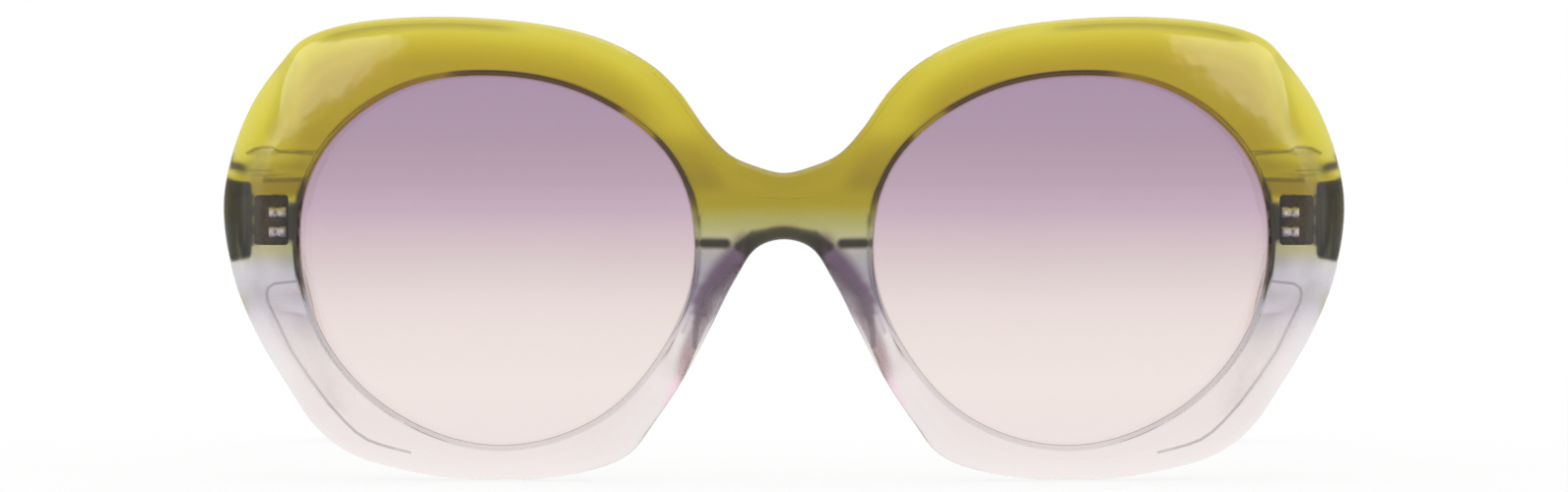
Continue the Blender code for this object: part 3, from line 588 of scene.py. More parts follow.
def tube(rings: np.ndarray, first: np.ndarray, last: np.ndarray) -> Skin:
    """Returns a closed skin over rings of points, with a fan to a middle point at each end.

    Args:
        rings: Array of rings, points and X, Y, Z.
        first: Middle point of the first end.
        last: Middle point of the last end.

    Returns:
        The skin; its last faces are the two fans.
    """
    runs, around = rings.shape[:2]
    faces = grid_faces(runs, around, False, True)
    low, high = runs * around, runs * around + 1
    start = np.arange(around)
    end = start + (runs - 1) * around
    faces += np.column_stack([start, np.full(around, low), np.roll(start, -1)]).tolist()
    faces += np.column_stack([end, np.roll(end, -1), np.full(around, high)]).tolist()
    return Skin(np.vstack([rings.reshape(-1, 3), first, last]), faces)


def linked(name: str, data: bpy.types.ID) -> Object:
    """Adds an object to the scene.

    Args:
        name: Its name.
        data: The mesh, light or camera that it shows.

    Returns:
        The object.
    """
    made = bpy.data.objects.new(name, data)
    bpy.context.scene.collection.objects.link(made)
    return made


def baked(made: Object) -> None:
    """Replaces an object's mesh with the one that its modifiers make, and removes them.

    Args:
        made: The object.
    """
    depsgraph = bpy.context.evaluated_depsgraph_get()
    mesh = bpy.data.meshes.new_from_object(made.evaluated_get(depsgraph), depsgraph=depsgraph)
    made.modifiers.clear()
    made.data = mesh


def smoothed(made: Object, sharp: float) -> None:
    """Shades an object smooth, apart from edges that turn by more than an angle in degrees."""
    made.data.shade_smooth()
    made.data.set_sharp_from_angle(angle=math.radians(sharp))


def piece(name: str, skin: Skin, materials: list, sharp: float = 35.0, cut: bool = False) -> Object:
    """Makes an object from a skin, with its faces pointing outwards and its seams merged.

    Args:
        name: The piece's name.
        skin: Its mesh.
        materials: Its finishes, in the order that the skin numbers them.
        sharp: Angle in degrees past which an edge is sharp.
        cut: Whether the skin is cut at the mid-plane and mirrored.

    Returns:
        The object.
    """
    mesh = bpy.data.meshes.new(name)
    mesh.from_pydata(skin.points.tolist(), [], skin.faces)
    for material in materials:
        mesh.materials.append(material)
    if skin.finishes:
        mesh.polygons.foreach_set("material_index", skin.finishes)
    for label, values in skin.attributes.items():
        layer = mesh.attributes.new(label, "FLOAT", "POINT")
        layer.data.foreach_set("value", np.asarray(values, np.float32))
    shape = bmesh.new()
    shape.from_mesh(mesh)
    if cut:
        bmesh.ops.bisect_plane(shape, geom=shape.verts[:] + shape.edges[:] + shape.faces[:], dist=WELD,
                               plane_co=(0, 0, 0), plane_no=(1, 0, 0), clear_inner=True)
        for vert in shape.verts:
            if abs(vert.co.x) < ON_PLANE:
                vert.co.x = 0.0
    bmesh.ops.remove_doubles(shape, verts=shape.verts, dist=WELD)
    bmesh.ops.recalc_face_normals(shape, faces=shape.faces)
    shape.to_mesh(mesh)
    shape.free()
    made = linked(name, mesh)
    if cut:
        made.modifiers.new("Mirror", "MIRROR").merge_threshold = 2 * ON_PLANE
        baked(made)
    smoothed(made, sharp)
    return made


def settle(made: Object, body: str, slot: Slot, *nodes: str) -> None:
    """Puts a piece on its body, in place of CAD nodes, and reports it.

    Args:
        made: The piece.
        body: The CAD body that it rides on.
        slot: The record's material slot that it takes its finish from; not used.
        *nodes: The CAD nodes that it stands for.
    """
    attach(made, body)
    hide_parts(*nodes)
    LOG.info("%s: %d faces on %s", made.name, len(made.data.polygons), body)


@dataclass
class FrontForm:
    """The outline, the lens openings and the faces of the front, as formulas that every piece shares."""

    lens_width: float = 50.3 * MM
    lens_height: float = 47.1 * MM
    bridge_gap: float = 23.1 * MM
    endpiece_width: float = 10.2 * MM
    top_rim: float = 7.75 * MM
    bottom_rim: float = 4.55 * MM
    thickness: float = 4.8 * MM
    wrap_angle: float = math.radians(6.8)
    wrap_blend: float = 12.0 * MM
    block_rise: float = 1.4 * MM
    block_below: float = 7.3 * MM
    block_above: float = 4.8 * MM
    block_ramp: float = 4.8 * MM
    curve_radius: float = 132.5 * MM
    lens_thickness: float = 2.0 * MM
    groove_depth: float = 0.6 * MM
    opening_ease: float = 0.15 * MM
    edge_clearance: float = 0.04 * MM
    standing_flat: float = 0.12 * MM
    hinge_share: float = 0.56
    lens_shares: tuple = (1.0, 1.06, 1.05, 1.0, 1.005, 1.035, 1.0, 0.965, 0.99, 1.0, 0.975, 0.975)
    outline_shares: tuple = (
        (0.00, 1.740), (0.30, 1.757), (0.60, 1.790), (0.86, 1.857), (1.035, 1.959), (1.10, 2.165),
        (1.21, 2.570), (1.36, 2.845), (1.65, 3.000), (1.89, 2.870), (2.00, 2.612), (2.25, 2.265),
        (2.64, 1.925), (2.915, 1.770), (3.00, 1.640), (2.87, 1.455), (2.58, 1.300), (2.18, 1.155),
        (1.965, 1.045), (1.88, 0.750), (1.73, 0.250), (1.52, 0.000), (1.29, 0.230), (1.165, 0.750),
        (1.098, 1.065), (1.02, 1.190), (0.80, 1.325), (0.54, 1.450), (0.30, 1.536), (0.00, 1.559),
    )

    def __post_init__(self) -> None:
        """Works out the places that follow from the sizes."""
        self.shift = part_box("front_frame")[0].y
        self.half_gap = self.bridge_gap / 2
        self.lens_x = self.half_gap + self.lens_width / 2
        self.lens_z = self.bottom_rim + self.lens_height / 2
        self.lens_outer_x = self.half_gap + self.lens_width
        self.lens_reach_mean = (self.lens_width + self.lens_height) / 4
        self.half_width = self.lens_outer_x + self.endpiece_width
        self.height = self.bottom_rim + self.lens_height + self.top_rim
        self.hinge_z = self.hinge_share * self.height
        self.butt_y = float(self.wrap(self.half_width)) + self.thickness + self.block_rise

    def wrap(self, x: np.ndarray) -> np.ndarray:
        """Returns how far the front leans back: a hyperbola that joins two straight wings at the bridge."""
        return math.tan(self.wrap_angle) * (np.hypot(x, self.wrap_blend) - self.wrap_blend)

    def spline(self, points: np.ndarray, per_span: int = 40) -> np.ndarray:
        """Returns a centripetal Catmull-Rom curve through points, level where it crosses the mid-plane.

        Args:
            points: Points in X and Z, the first and last on the mid-plane.
            per_span: Number of steps between two points.

        Returns:
            Points of the curve.
        """
        flip = np.array([-1.0, 1.0])
        run = np.vstack([points[1] * flip, points, points[-2] * flip])
        gaps = np.linalg.norm(np.diff(run, axis=0), axis=1) ** 0.5
        t1 = gaps[:-2, None, None]
        t2 = t1 + gaps[1:-1, None, None]
        t3 = t2 + gaps[2:, None, None]
        share = np.linspace(0.0, 1.0, per_span, endpoint=False)[None, :, None]
        t = t1 + (t2 - t1) * share
        p0, p1, p2, p3 = (run[start:len(run) - 3 + start, None, :] for start in range(4))
        a1 = p0 + (p1 - p0) * t / t1
        a2 = p1 + (p2 - p1) * (t - t1) / (t2 - t1)
        a3 = p2 + (p3 - p2) * (t - t2) / (t3 - t2)
        b1 = a1 + (a2 - a1) * t / t2
        b2 = a2 + (a3 - a2) * (t - t1) / (t3 - t1)
        curve = b1 + (b2 - b1) * (t - t1) / (t2 - t1)
        return np.vstack([curve.reshape(-1, 2), points[-1:]])

    def outline(self, stations: int) -> tuple[np.ndarray, np.ndarray]:
        """Returns points at equal distances round the right half of the front, and their outward normals.

        Args:
            stations: Number of steps.

        Returns:
            Points and unit normals, in X and Z.
        """
        shares = np.array(self.outline_shares)
        bands = range(4)
        across = np.interp(shares[:, 0], bands, (0, self.half_gap, self.lens_outer_x, self.half_width))
        levels = (-self.standing_flat, self.bottom_rim, self.bottom_rim + self.lens_height, self.height)
        curve = self.spline(np.column_stack([across, np.interp(shares[:, 1], bands, levels)]))
        reach = np.concatenate([[0.0], np.cumsum(np.linalg.norm(np.diff(curve, axis=0), axis=1))])
        places = np.linspace(0.0, reach[-1], stations + 1)
        points = np.column_stack([np.interp(places, reach, curve[:, axis]) for axis in range(2)])
        points[[0, -1], 0] = 0.0
        tangents = np.gradient(points, axis=0)
        tangents[0], tangents[-1] = (1.0, 0.0), (-1.0, 0.0)
        normals = np.column_stack([-tangents[:, 1], tangents[:, 0]])
        normals /= np.linalg.norm(normals, axis=1)[:, None]
        points[:, 1] = np.maximum(points[:, 1], 0.0)
        return points, normals

    def opening(self, turn: np.ndarray) -> np.ndarray:
        """Returns points of the lens opening: an ellipse times a reach.

        The reach is a Catmull-Rom curve through the shares, which stand every 30 degrees.

        Args:
            turn: Angles about the lens's middle, in radians.

        Returns:
            Points in X and Z.
        """
        across = np.cos(turn) / (self.lens_width / 2)
        up = np.sin(turn) / (self.lens_height / 2)
        shares = np.array(self.lens_shares)
        place = np.arctan2(up, across) / (2 * math.pi) * len(shares)
        index = np.floor(place).astype(int)
        part = place - index
        p0, p1, p2, p3 = (shares[(index + step) % len(shares)] for step in (-1, 0, 1, 2))
        bend = 2 * p0 - 5 * p1 + 4 * p2 - p3
        reach = p1 + 0.5 * part * (p2 - p0 + part * (bend + part * (3 * (p1 - p2) + p3 - p0)))
        radius = reach / np.hypot(across, up)
        return np.column_stack([self.lens_x + radius * np.cos(turn), self.lens_z + radius * np.sin(turn)])

    def lens_edge(self, turn: np.ndarray, offset: float | np.ndarray = 0.0) -> np.ndarray:
        """Returns points of the lens opening at angles about its centre, moved outwards by an offset.

        Args:
            turn: Angles in radians.
            offset: Distance outwards.

        Returns:
            Points in X and Z.
        """
        small = math.radians(0.5)
        tangents = self.opening(turn + small) - self.opening(turn - small)
        normals = np.column_stack([tangents[:, 1], -tangents[:, 0]])
        normals /= np.linalg.norm(normals, axis=1)[:, None]
        return self.opening(turn) + normals * (offset + self.opening_ease)

    def lens_y(self, points: np.ndarray) -> np.ndarray:
        """Returns the depth of the lens's middle surface: a sphere's cap laid over the wrapped front.

        Args:
            points: Points in X and Z.

        Returns:
            Depths in metres.
        """
        distance = np.hypot(points[:, 0] - self.lens_x, points[:, 1] - self.lens_z)
        dome = (self.lens_reach_mean ** 2 - distance ** 2) / (2 * self.curve_radius)
        return self.wrap(points[:, 0]) + self.thickness / 2 - dome

    def back_y(self, points: np.ndarray, sunk: float) -> tuple[np.ndarray, np.ndarray]:
        """Returns the depth of the back face, which steps out to the flat endpiece block.

        Args:
            points: Points in X and Z.
            sunk: How far the block's flat lies below the hinge plate's.

        Returns:
            The depth, and the share of the block in it.
        """
        low, high = self.hinge_z - self.block_below, self.hinge_z + self.block_above
        block = within(points[:, 1], (low - self.block_ramp, low, high, high + self.block_ramp))
        block = np.where(points[:, 0] > self.lens_x, block, 0.0)
        plain = self.wrap(points[:, 0]) + self.thickness
        return plain + block * (self.butt_y - sunk - plain), block


@dataclass(frozen=True)
class Zone:
    """A zone of the front with soft edges, and the strength of a look in it.

    Each window holds limits in millimetres, as the function within takes them, and one that is left out is 1
    everywhere. edge is the distance to the outline and lens the distance to the lens opening.
    """

    strength: float
    x: tuple = ()
    z: tuple = ()
    edge: tuple = ()
    lens: tuple = ()


@dataclass(frozen=True)
class Spots:
    """Places on the front, in millimetres, as a zone's windows name them."""

    x: np.ndarray
    z: np.ndarray
    edge: np.ndarray
    lens: np.ndarray

    def share(self, zone: Zone) -> np.ndarray:
        """Works out a zone's strength at each place: its full one times the shares of its windows.

        Args:
            zone: The zone.

        Returns:
            Strengths, one for each place.
        """
        total = np.full(self.x.shape, zone.strength)
        for name in ("x", "z", "edge", "lens"):
            window = getattr(zone, name)
            if window:
                total *= within(getattr(self, name), window)
        return total

    def total(self, zones: tuple) -> np.ndarray:
        """Returns the sum of some zones' strengths at each place."""
        return sum(self.share(zone) for zone in zones)


@dataclass(frozen=True)
class FrontLooks:
    """How the front looks along the view from in front, zone by zone.

    Depth goes from thin at the edge to about 1 within, over a reach that is longer at the ends. Near the
    nose it blends into the nose's own depth. Beside the lens, where light is turned away at the groove, the
    depth is raised much more as painted shade, deeper and browner, apart from one golden spot. Dark lines of
    painted shade lie where a steep wall behind turns light away: round the lens, where the strongest line
    counts, over the hinge's plate, under the bridge and along the top, where the round begins. Satin is the
    share of a duller polish.
    """

    thin: float = 0.5
    filling: float = 0.62
    fill_reach: float = 1.0
    outer_fill: Zone = Zone(1.6, x=(60.0, 66.0))
    upper_depths: tuple = (
        Zone(0.95, z=(36.0, 44.0), edge=(1.2, 6.5)),
        Zone(-0.665, x=(60.0, 66.0), z=(36.0, 44.0), edge=(1.2, 6.5)),
    )
    nose: Zone = Zone(1.0, x=(21.0, 11.0), z=(14.0, 24.0))
    nose_depths: tuple = (Zone(1.2), Zone(0.7, z=(29.0, 34.0)), Zone(-0.595, z=(38.0, 46.0)))
    # Painted shade: the dark brown line beside the lens, given as extra depth.
    groove_shade_depths: tuple = (
        Zone(8.0, z=(34.0, 38.0), lens=(0.8, 0.5)),
        Zone(-5.2, x=(40.5, 44.0), z=(34.0, 38.0), lens=(0.8, 0.5)),
    )
    golden_spot: tuple = (18.9, 45.2)
    golden_reach: tuple = (4.0, 2.0)
    golden_share: float = 0.8
    more_depths: tuple = (
        Zone(0.1, x=(56.0, 60.0), z=(16.0, 25.0, 34.0)),
        Zone(0.65, x=(57.0, 60.0), z=(26.5, 30.0, 33.5), edge=(1.0, 3.0)),
        Zone(0.4, x=(21.0, 11.0), z=(23.5, 28.0, 32.5)),
        Zone(0.1, x=(55.0, 59.0), z=(35.8, 36.6, 44.0, 47.0), edge=(0.5, 4.0)),
        Zone(0.55, x=(55.0, 59.0), z=(35.8, 36.6, 40.0, 41.4), edge=(0.5, 4.0)),
        Zone(0.85, x=(55.0, 59.0), z=(35.8, 36.6, 38.2, 38.9), edge=(0.5, 4.0)),
        Zone(0.45, x=(19.0, 15.0), z=(36.0, 38.5, 42.0, 46.0), lens=(6.0, 3.0)),
    )
    recess: Zone = Zone(0.94, x=(62.4, 63.1, 67.0, 67.6), z=(30.0, 30.8, 35.0, 35.8))
    # Painted shade: dark lines round the lens, by the nose, on the rims and over the hinge's plate.
    lens_shade: Zone = Zone(1.0, lens=(1.05, 0.75))
    nose_shades: tuple = (
        Zone(0.5, x=(32.0, 26.0), z=(31.0, 33.5, 36.0, 39.0)),
        Zone(0.2, x=(32.0, 26.0), z=(31.0, 33.5)),
    )
    rim_shades: tuple = (
        Zone(0.28, x=(14.0, 12.6), z=(20.0, 23.0)),
        Zone(0.25, x=(44.0, 40.5), z=(43.0, 48.0), lens=(0.8, 0.5)),
        Zone(0.97, x=(55.0, 59.0), z=(23.5, 27.0, 36.0, 39.0)),
    )
    plate_shade: Zone = Zone(0.985, x=(58.0, 60.0), z=(29.8, 30.8, 35.2, 36.2), lens=(2.4, 1.9))
    # Painted shade: under the bridge, low round the lens, beside the hinge and along the top crease.
    other_shades: tuple = (
        Zone(1.0, x=(5.8, 4.7), z=(34.0, 33.2), edge=(2.1, 1.5)),
        Zone(0.3, x=(4.0, 5.5, 8.0, 9.5), z=(28.8, 31.0, 33.2), edge=(4.0, 2.0)),
        Zone(0.28, z=(34.0, 30.0), lens=(0.8, 0.45)),
        Zone(0.14, x=(38.0, 48.0), z=(34.0, 30.0), lens=(0.8, 0.45)),
        Zone(0.2, x=(45.0, 55.0), z=(12.0, 26.0, 30.0, 34.0), lens=(0.8, 0.45)),
        Zone(0.2, x=(58.0, 60.0), z=(25.0, 28.0, 31.0), lens=(4.0, 1.5)),
        Zone(0.5, x=(32.0, 38.0, 57.0, 61.0), z=(48.0, 54.0), edge=(0.6, 1.0, 1.4)),
    )
    darkest: float = 0.99
    satin_rise: float = 0.5 * MM
    step_satin: float = 0.6
    front_satin: tuple = (
        Zone(0.5, x=(57.0, 62.0), z=(50.0, 44.0), edge=(5.0, 4.0)),
        Zone(0.4, x=(50.0, 54.0), z=(4.0, 16.0, 28.0)),
        Zone(0.5, x=(66.0, 68.0), z=(18.0, 23.0, 28.0)),
    )
    back_satin: tuple = (
        Zone(0.8, x=(50.0, 54.0), z=(4.0, 16.0, 28.0)),
        Zone(1.0, x=(66.0, 68.0), z=(18.0, 23.0, 28.0)),
        Zone(0.7, x=(32.0, 24.0), z=(18.0, 12.0)),
    )

    def depth(self, spots: Spots) -> np.ndarray:
        """Works out the relative length of acetate along the view.

        Args:
            spots: Places on the front.

        Returns:
            A half at a thin edge, about 1 within, up to about 10 beside the lens, where it paints shade, and
            under a tenth where the hinge's recess leaves little acetate.
        """
        reach = self.fill_reach + spots.share(self.outer_fill)
        depth = self.thin + self.filling * (1 - np.exp(-spots.edge / reach)) + spots.total(self.upper_depths)
        depth += spots.share(self.nose) * (spots.total(self.nose_depths) - depth)
        away = np.hypot(spots.x - self.golden_spot[0], spots.z - self.golden_spot[1])
        golden = ramp(away, *self.golden_reach)
        # Painted shade beside the lens, left off at the golden spot.
        depth += spots.total(self.groove_shade_depths) * (1 - self.golden_share * golden)
        depth += spots.total(self.more_depths)
        return depth * (1 - spots.share(self.recess))

    def shade(self, spots: Spots) -> np.ndarray:
        """Works out the strength of the dark lines of painted shade.

        Args:
            spots: Places on the front.

        Returns:
            Strengths from 0 up to the darkest.
        """
        strongest = np.maximum.reduce([spots.total(self.nose_shades), *map(spots.share, self.rim_shades)])
        lines = np.maximum(spots.share(self.lens_shade) * strongest, spots.share(self.plate_shade))
        return np.clip(lines + spots.total(self.other_shades), 0, self.darkest)

    def satin(self, spots: Spots, back: np.ndarray, pad_rise: np.ndarray, block: np.ndarray) -> np.ndarray:
        """Works out the share of a duller polish: on the pads, the block's steps and zones of either face.

        Args:
            spots: Places on the front.
            back: Whether each is on the back.
            pad_rise: How far the middle of a nose pad would rise there.
            block: The share of the endpiece block in the back face.

        Returns:
            Shares from 0 to 1 on the back. On the front zones add up, to about 1.2 at most.
        """
        steps = self.step_satin * np.sqrt(4 * block * (1 - block))
        behind = ramp(pad_rise, 0.0, self.satin_rise) + steps + spots.total(self.back_satin)
        return np.where(back, np.clip(behind, 0, 1), spots.total(self.front_satin))


@dataclass
class Front:
    """The front: a section of rounds, faces and a lens groove, carried round the outline."""

    form: FrontForm
    edge_width: float = 2.4 * MM
    edge_depth: float = 1.6 * MM
    top_slimming: float = 0.6
    depth_slimming: float = 0.7
    top_reach: tuple = (46.0 * MM, 54.0 * MM)
    facet_width: float = 2.2 * MM
    facet_shares: tuple = (0.66, 0.78, 0.945)
    back_edge_width: float = 3.4 * MM
    back_edge_depth: float = 1.0 * MM
    block_edge: float = 0.6 * MM
    lip_width: float = 0.5 * MM
    rim_share: float = 0.6
    lip_share: float = 0.6
    sunk: float = 0.04 * MM
    pad_length: float = 19.0 * MM
    pad_depth: float = 4.2 * MM
    pad_lean: float = math.radians(22.0)
    pad_splay: float = 1.0 * MM
    pad_shares: tuple = (0.49, 0.355)
    bell_power: float = 1.5
    arch_power: float = 0.75
    bridge_lift: float = 7.0 * MM
    bridge_reach: tuple = (7.0 * MM, 17.0 * MM)
    crowding: float = 1.8
    stations: int = 320
    closing: int = 12
    round_rows: int = 10
    face_rows: int = 12
    lip_rows: int = 5
    opening_points: int = 180
    overrun: float = 0.3 * MM

    def pad_rise(self, points: np.ndarray, across: float | np.ndarray) -> np.ndarray:
        """Returns how far the nose pad rises over the back: a long bell, times a round arch across the rim.

        Args:
            points: Points in X and Z.
            across: Share of the rim's width from its outline to the lens.

        Returns:
            Heights in metres.
        """
        form = self.form
        centre = np.array([self.pad_shares[0] * form.bridge_gap,
                           form.bottom_rim + self.pad_shares[1] * form.lens_height])
        along = (points - centre) @ np.array([math.sin(self.pad_lean), -math.cos(self.pad_lean)])
        bell = np.clip(1 - (along / (self.pad_length / 2)) ** 2, 0, 1) ** self.bell_power
        arch = np.clip(4 * across * (1 - across), 0, 1) ** self.arch_power
        return np.where(points[:, 0] < form.lens_x, self.pad_depth * bell * arch, 0.0)

    def section_turns(self, inner: np.ndarray) -> np.ndarray:
        """Returns the angle about the lens at which each section meets it.

        Sections run towards the lens's middle, but under the bridge towards a point above it, so that they
        don't cross there.

        Args:
            inner: Inner ends of the sections' rounds, in X and Z.

        Returns:
            Angles in radians.
        """
        form = self.form
        middle = np.array([form.lens_x, form.lens_z])
        lift = self.bridge_lift * (1 - ramp(inner[:, 0], *self.bridge_reach))
        heading = middle + np.column_stack([np.zeros(len(lift)), lift]) - inner
        heading /= np.linalg.norm(heading, axis=1)[:, None]
        away = inner - middle
        toward = (away * heading).sum(1)
        beyond = toward ** 2 - (away ** 2).sum(1) + form.lens_reach_mean ** 2
        met = away + heading * (-toward - np.sqrt(np.maximum(beyond, 0)))[:, None]
        return np.arctan2(met[:, 1], met[:, 0])

    def skin(self) -> Skin:
        """Builds the half front.

        The section at each station: an elliptical round, the front face, a round lip, the lens groove, a lip,
        the back face with the endpiece block or the nose pad on it, and an elliptical round. Past the
        mid-plane a few stations without rounds close the run, and the piece is cut there.

        Returns:
            The skin, with its looks as attributes.
        """
        form = self.form
        outline, outward = form.outline(self.stations)
        outer = np.vstack([outline, outline[[-1, 0]] - np.array([self.overrun, 0.0])])
        outward = np.vstack([outward, outward[[-1, 0]]])
        turn = self.section_turns(outer - outward * self.edge_width)
        width = np.linalg.norm(outer - form.lens_edge(turn), axis=1)
        # The round is slimmer along the top, outside the lens's inner edge
        slim = self.top_slimming * ramp(outer[:, 1], *self.top_reach)
        slim *= ramp(outer[:, 0], form.half_gap, form.lens_x)
        facet = within(outer[:, 1] / form.height, self.facet_shares)
        facet = np.where(outer[:, 0] > form.lens_x, facet, 0.0)
        lip = np.minimum(self.lip_width, width * (1 - self.rim_share) / 2)
        wanted = self.edge_width * (1 - slim) + self.facet_width * facet
        front_width = np.minimum(wanted, width * self.rim_share)
        front_depth = self.edge_depth * (1 - self.depth_slimming * slim)
        back_width = np.minimum(self.back_edge_width, width * self.rim_share)
        steps = np.linspace(0.0, 1.0, self.closing)

        def closed(values: np.ndarray, between: np.ndarray) -> np.ndarray:
            """Returns the stations' values with those of the closing stations put in before the last."""
            return np.concatenate([values[:-1], between, values[-1:]])

        def closed_outer(round_width: np.ndarray) -> np.ndarray:
            """Returns the outline; its closing stations climb between the rounds' inner ends."""
            low, high = (outer[end] - outward[end] * round_width[end] for end in (-2, -1))
            return closed(outer, low + (high - low) * steps[:, None])

        front_outer, back_outer = closed_outer(front_width), closed_outer(back_width)
        turn = closed(turn, turn[-2] + (turn[-1] - turn[-2]) * steps)
        normals = closed(outward, np.tile([-1.0, 0.0], (self.closing, 1)))
        front_width, back_width, front_depth = (closed(values, 0 * steps)
                                                for values in (front_width, back_width, front_depth))
        lip = closed(lip, np.full(self.closing, lip[-1]))
        wall = form.lens_edge(turn)
        width = np.linalg.norm(front_outer - wall, axis=1)
        rows, plans, backs = [], [], []

        def add(points: np.ndarray, depth: np.ndarray, back: bool = False) -> None:
            """Adds a row of the section. A back row gets the nose pad's rise.

            Args:
                points: The row's points in X and Z.
                depth: Their depths.
                back: Whether the row is on the back.
            """
            points = points.copy()
            if back:
                rise = self.pad_rise(points, np.linalg.norm(points - front_outer, axis=1) / width)
                depth = depth + rise
                points[:, 0] += self.pad_splay * rise / self.pad_depth
            rows.append(np.column_stack([points[:, 0], depth + form.shift, points[:, 1]]))
            plans.append(points)
            backs.append(back)

        def lip_row(angle: float) -> np.ndarray:
            """Returns the lip's plan at an angle of its round: full width at 0, none at a right angle."""
            return form.lens_edge(turn, (lip * (1 - math.sin(angle)))[:, None])

        rounds = np.linspace(0.0, QUARTER_TURN, self.round_rows)
        lips = np.linspace(0.0, QUARTER_TURN, self.lip_rows)[1:]
        shares = np.linspace(0.0, 1.0, self.face_rows)[:-1] ** self.crowding
        for angle in rounds:
            points = front_outer - normals * ((1 - math.cos(angle)) * front_width)[:, None]
            add(points, form.wrap(points[:, 0]) + front_depth * (1 - math.sin(angle)))
        edge, lip_points = points, lip_row(0.0)
        for share in 1 - shares[::-1]:
            points = edge + (lip_points - edge) * share
            add(points, form.wrap(points[:, 0]))

        groove = form.lens_thickness / 2 * (1 + form.edge_clearance / form.groove_depth)
        centre = form.lens_y(wall)
        face = form.wrap(wall[:, 0])
        back = face + form.thickness
        front_lip = self.lip_share * (centre - groove - face)
        back_lip = self.lip_share * (back - centre - groove)
        for angle in lips:
            add(lip_row(angle), face + front_lip * (1 - math.cos(angle)))
        add(wall, centre - groove)
        add(form.lens_edge(turn, form.groove_depth), centre)
        add(wall, centre + groove)
        for angle in lips[::-1]:
            add(lip_row(angle), back - back_lip * (1 - math.cos(angle)), back=True)

        back_edge = back_outer - normals * back_width[:, None]
        for share in shares:
            points = lip_points + (back_edge - lip_points) * share
            add(points, form.back_y(points, self.sunk)[0], back=True)
        for angle in rounds[::-1]:
            points = back_outer - normals * ((1 - math.cos(angle)) * back_width)[:, None]
            depth, block = form.back_y(points, self.sunk)
            round_depth = self.back_edge_depth + (self.block_edge - self.back_edge_depth) * block
            add(points, depth - round_depth * (1 - math.sin(angle)), back=True)

        plan = np.stack(plans, axis=1).reshape(-1, 2)
        return Skin(np.stack(rows, axis=1).reshape(-1, 3), grid_faces(len(turn), len(rows), True, True),
                    attributes=self.looks(plan, outline, np.tile(backs, len(turn))))

    def looks(self, plan: np.ndarray, outline: np.ndarray, back: np.ndarray) -> dict:
        """Works out how the acetate looks at each point along the view from in front.

        Args:
            plan: Places of the points, in X and Z.
            outline: Points of the front's outline.
            back: Whether each point is on the back.

        Returns:
            Attribute names and values.
        """
        looks = FrontLooks()
        both = np.vstack([outline, outline[::-1] * np.array([-1.0, 1.0])])
        opening = self.form.lens_edge(angles(self.opening_points))
        spots = Spots(*plan.T / MM, distance_to(plan, both) / MM, distance_to(plan, opening) / MM)
        block = self.form.back_y(plan, self.sunk)[1]
        return {"depth": looks.depth(spots), "shade": looks.shade(spots), "back": back.astype(float),
                "satin": looks.satin(spots, back, self.pad_rise(plan, 0.5), block)}

    def build(self, finish: Material) -> None:
        """Makes the piece and settles it."""
        made = piece("acetate_front", self.skin(), [finish], sharp=40.0, cut=True)
        settle(made, "front", Slot.FRONT, "front_frame", "nose_pad_left", "nose_pad_right")


@dataclass
class Lenses:
    """Two meniscus lenses with a V edge that sits in the rims' grooves."""

    form: FrontForm
    seat_gap: float = 0.1 * MM
    bevel: float = 0.12 * MM
    crowding: float = 0.8
    around: int = 160
    rings: int = 18

    def skin(self) -> Skin:
        """Builds the right lens: rings from the front face's middle over the V edge to the back's middle.

        Returns:
            The skin, with the attribute edge, 1 on the ground edge.
        """
        form = self.form
        turn = angles(self.around)
        centre = np.array([form.lens_x, form.lens_z])
        rim = form.lens_edge(turn, -form.edge_clearance)
        apex = form.lens_edge(turn, form.groove_depth - self.seat_gap)
        half = form.lens_thickness / 2
        flat = half - self.bevel
        shares = np.linspace(0.0, 1.0, self.rings + 1)[1:] ** self.crowding
        shares *= 1 - self.bevel / (form.lens_width / 2)
        plans = [centre + (rim - centre) * share for share in shares]
        slope = (rim + apex) / 2
        edge = [(rim, -flat), (slope, -flat / 2), (apex, 0.0), (slope, flat / 2), (rim, flat)]
        rings = [(plan, -half) for plan in plans] + edge + [(plan, half) for plan in plans[::-1]]
        grid = np.array([np.column_stack([plan[:, 0], form.lens_y(plan) + level + form.shift, plan[:, 1]])
                         for plan, level in rings])
        middle = float(form.lens_y(centre[None])[0]) + form.shift
        ends = (np.array([[form.lens_x, middle + level, form.lens_z]]) for level in (-half, half))
        made = tube(grid, *ends)
        ground = np.repeat([0.0, 1.0, 0.0], [self.rings, len(edge), self.rings])
        made.attributes["edge"] = np.append(np.repeat(ground, self.around), [0.0, 0.0])
        return made

    def build(self, finish: Material) -> None:
        """Makes both lenses and settles them."""
        skin = self.skin()
        for side in Side:
            made = piece(f"tinted_lens_{side.word}", skin.on(side), [finish])
            settle(made, "front", Slot.LENS, f"lens_{side.word}")


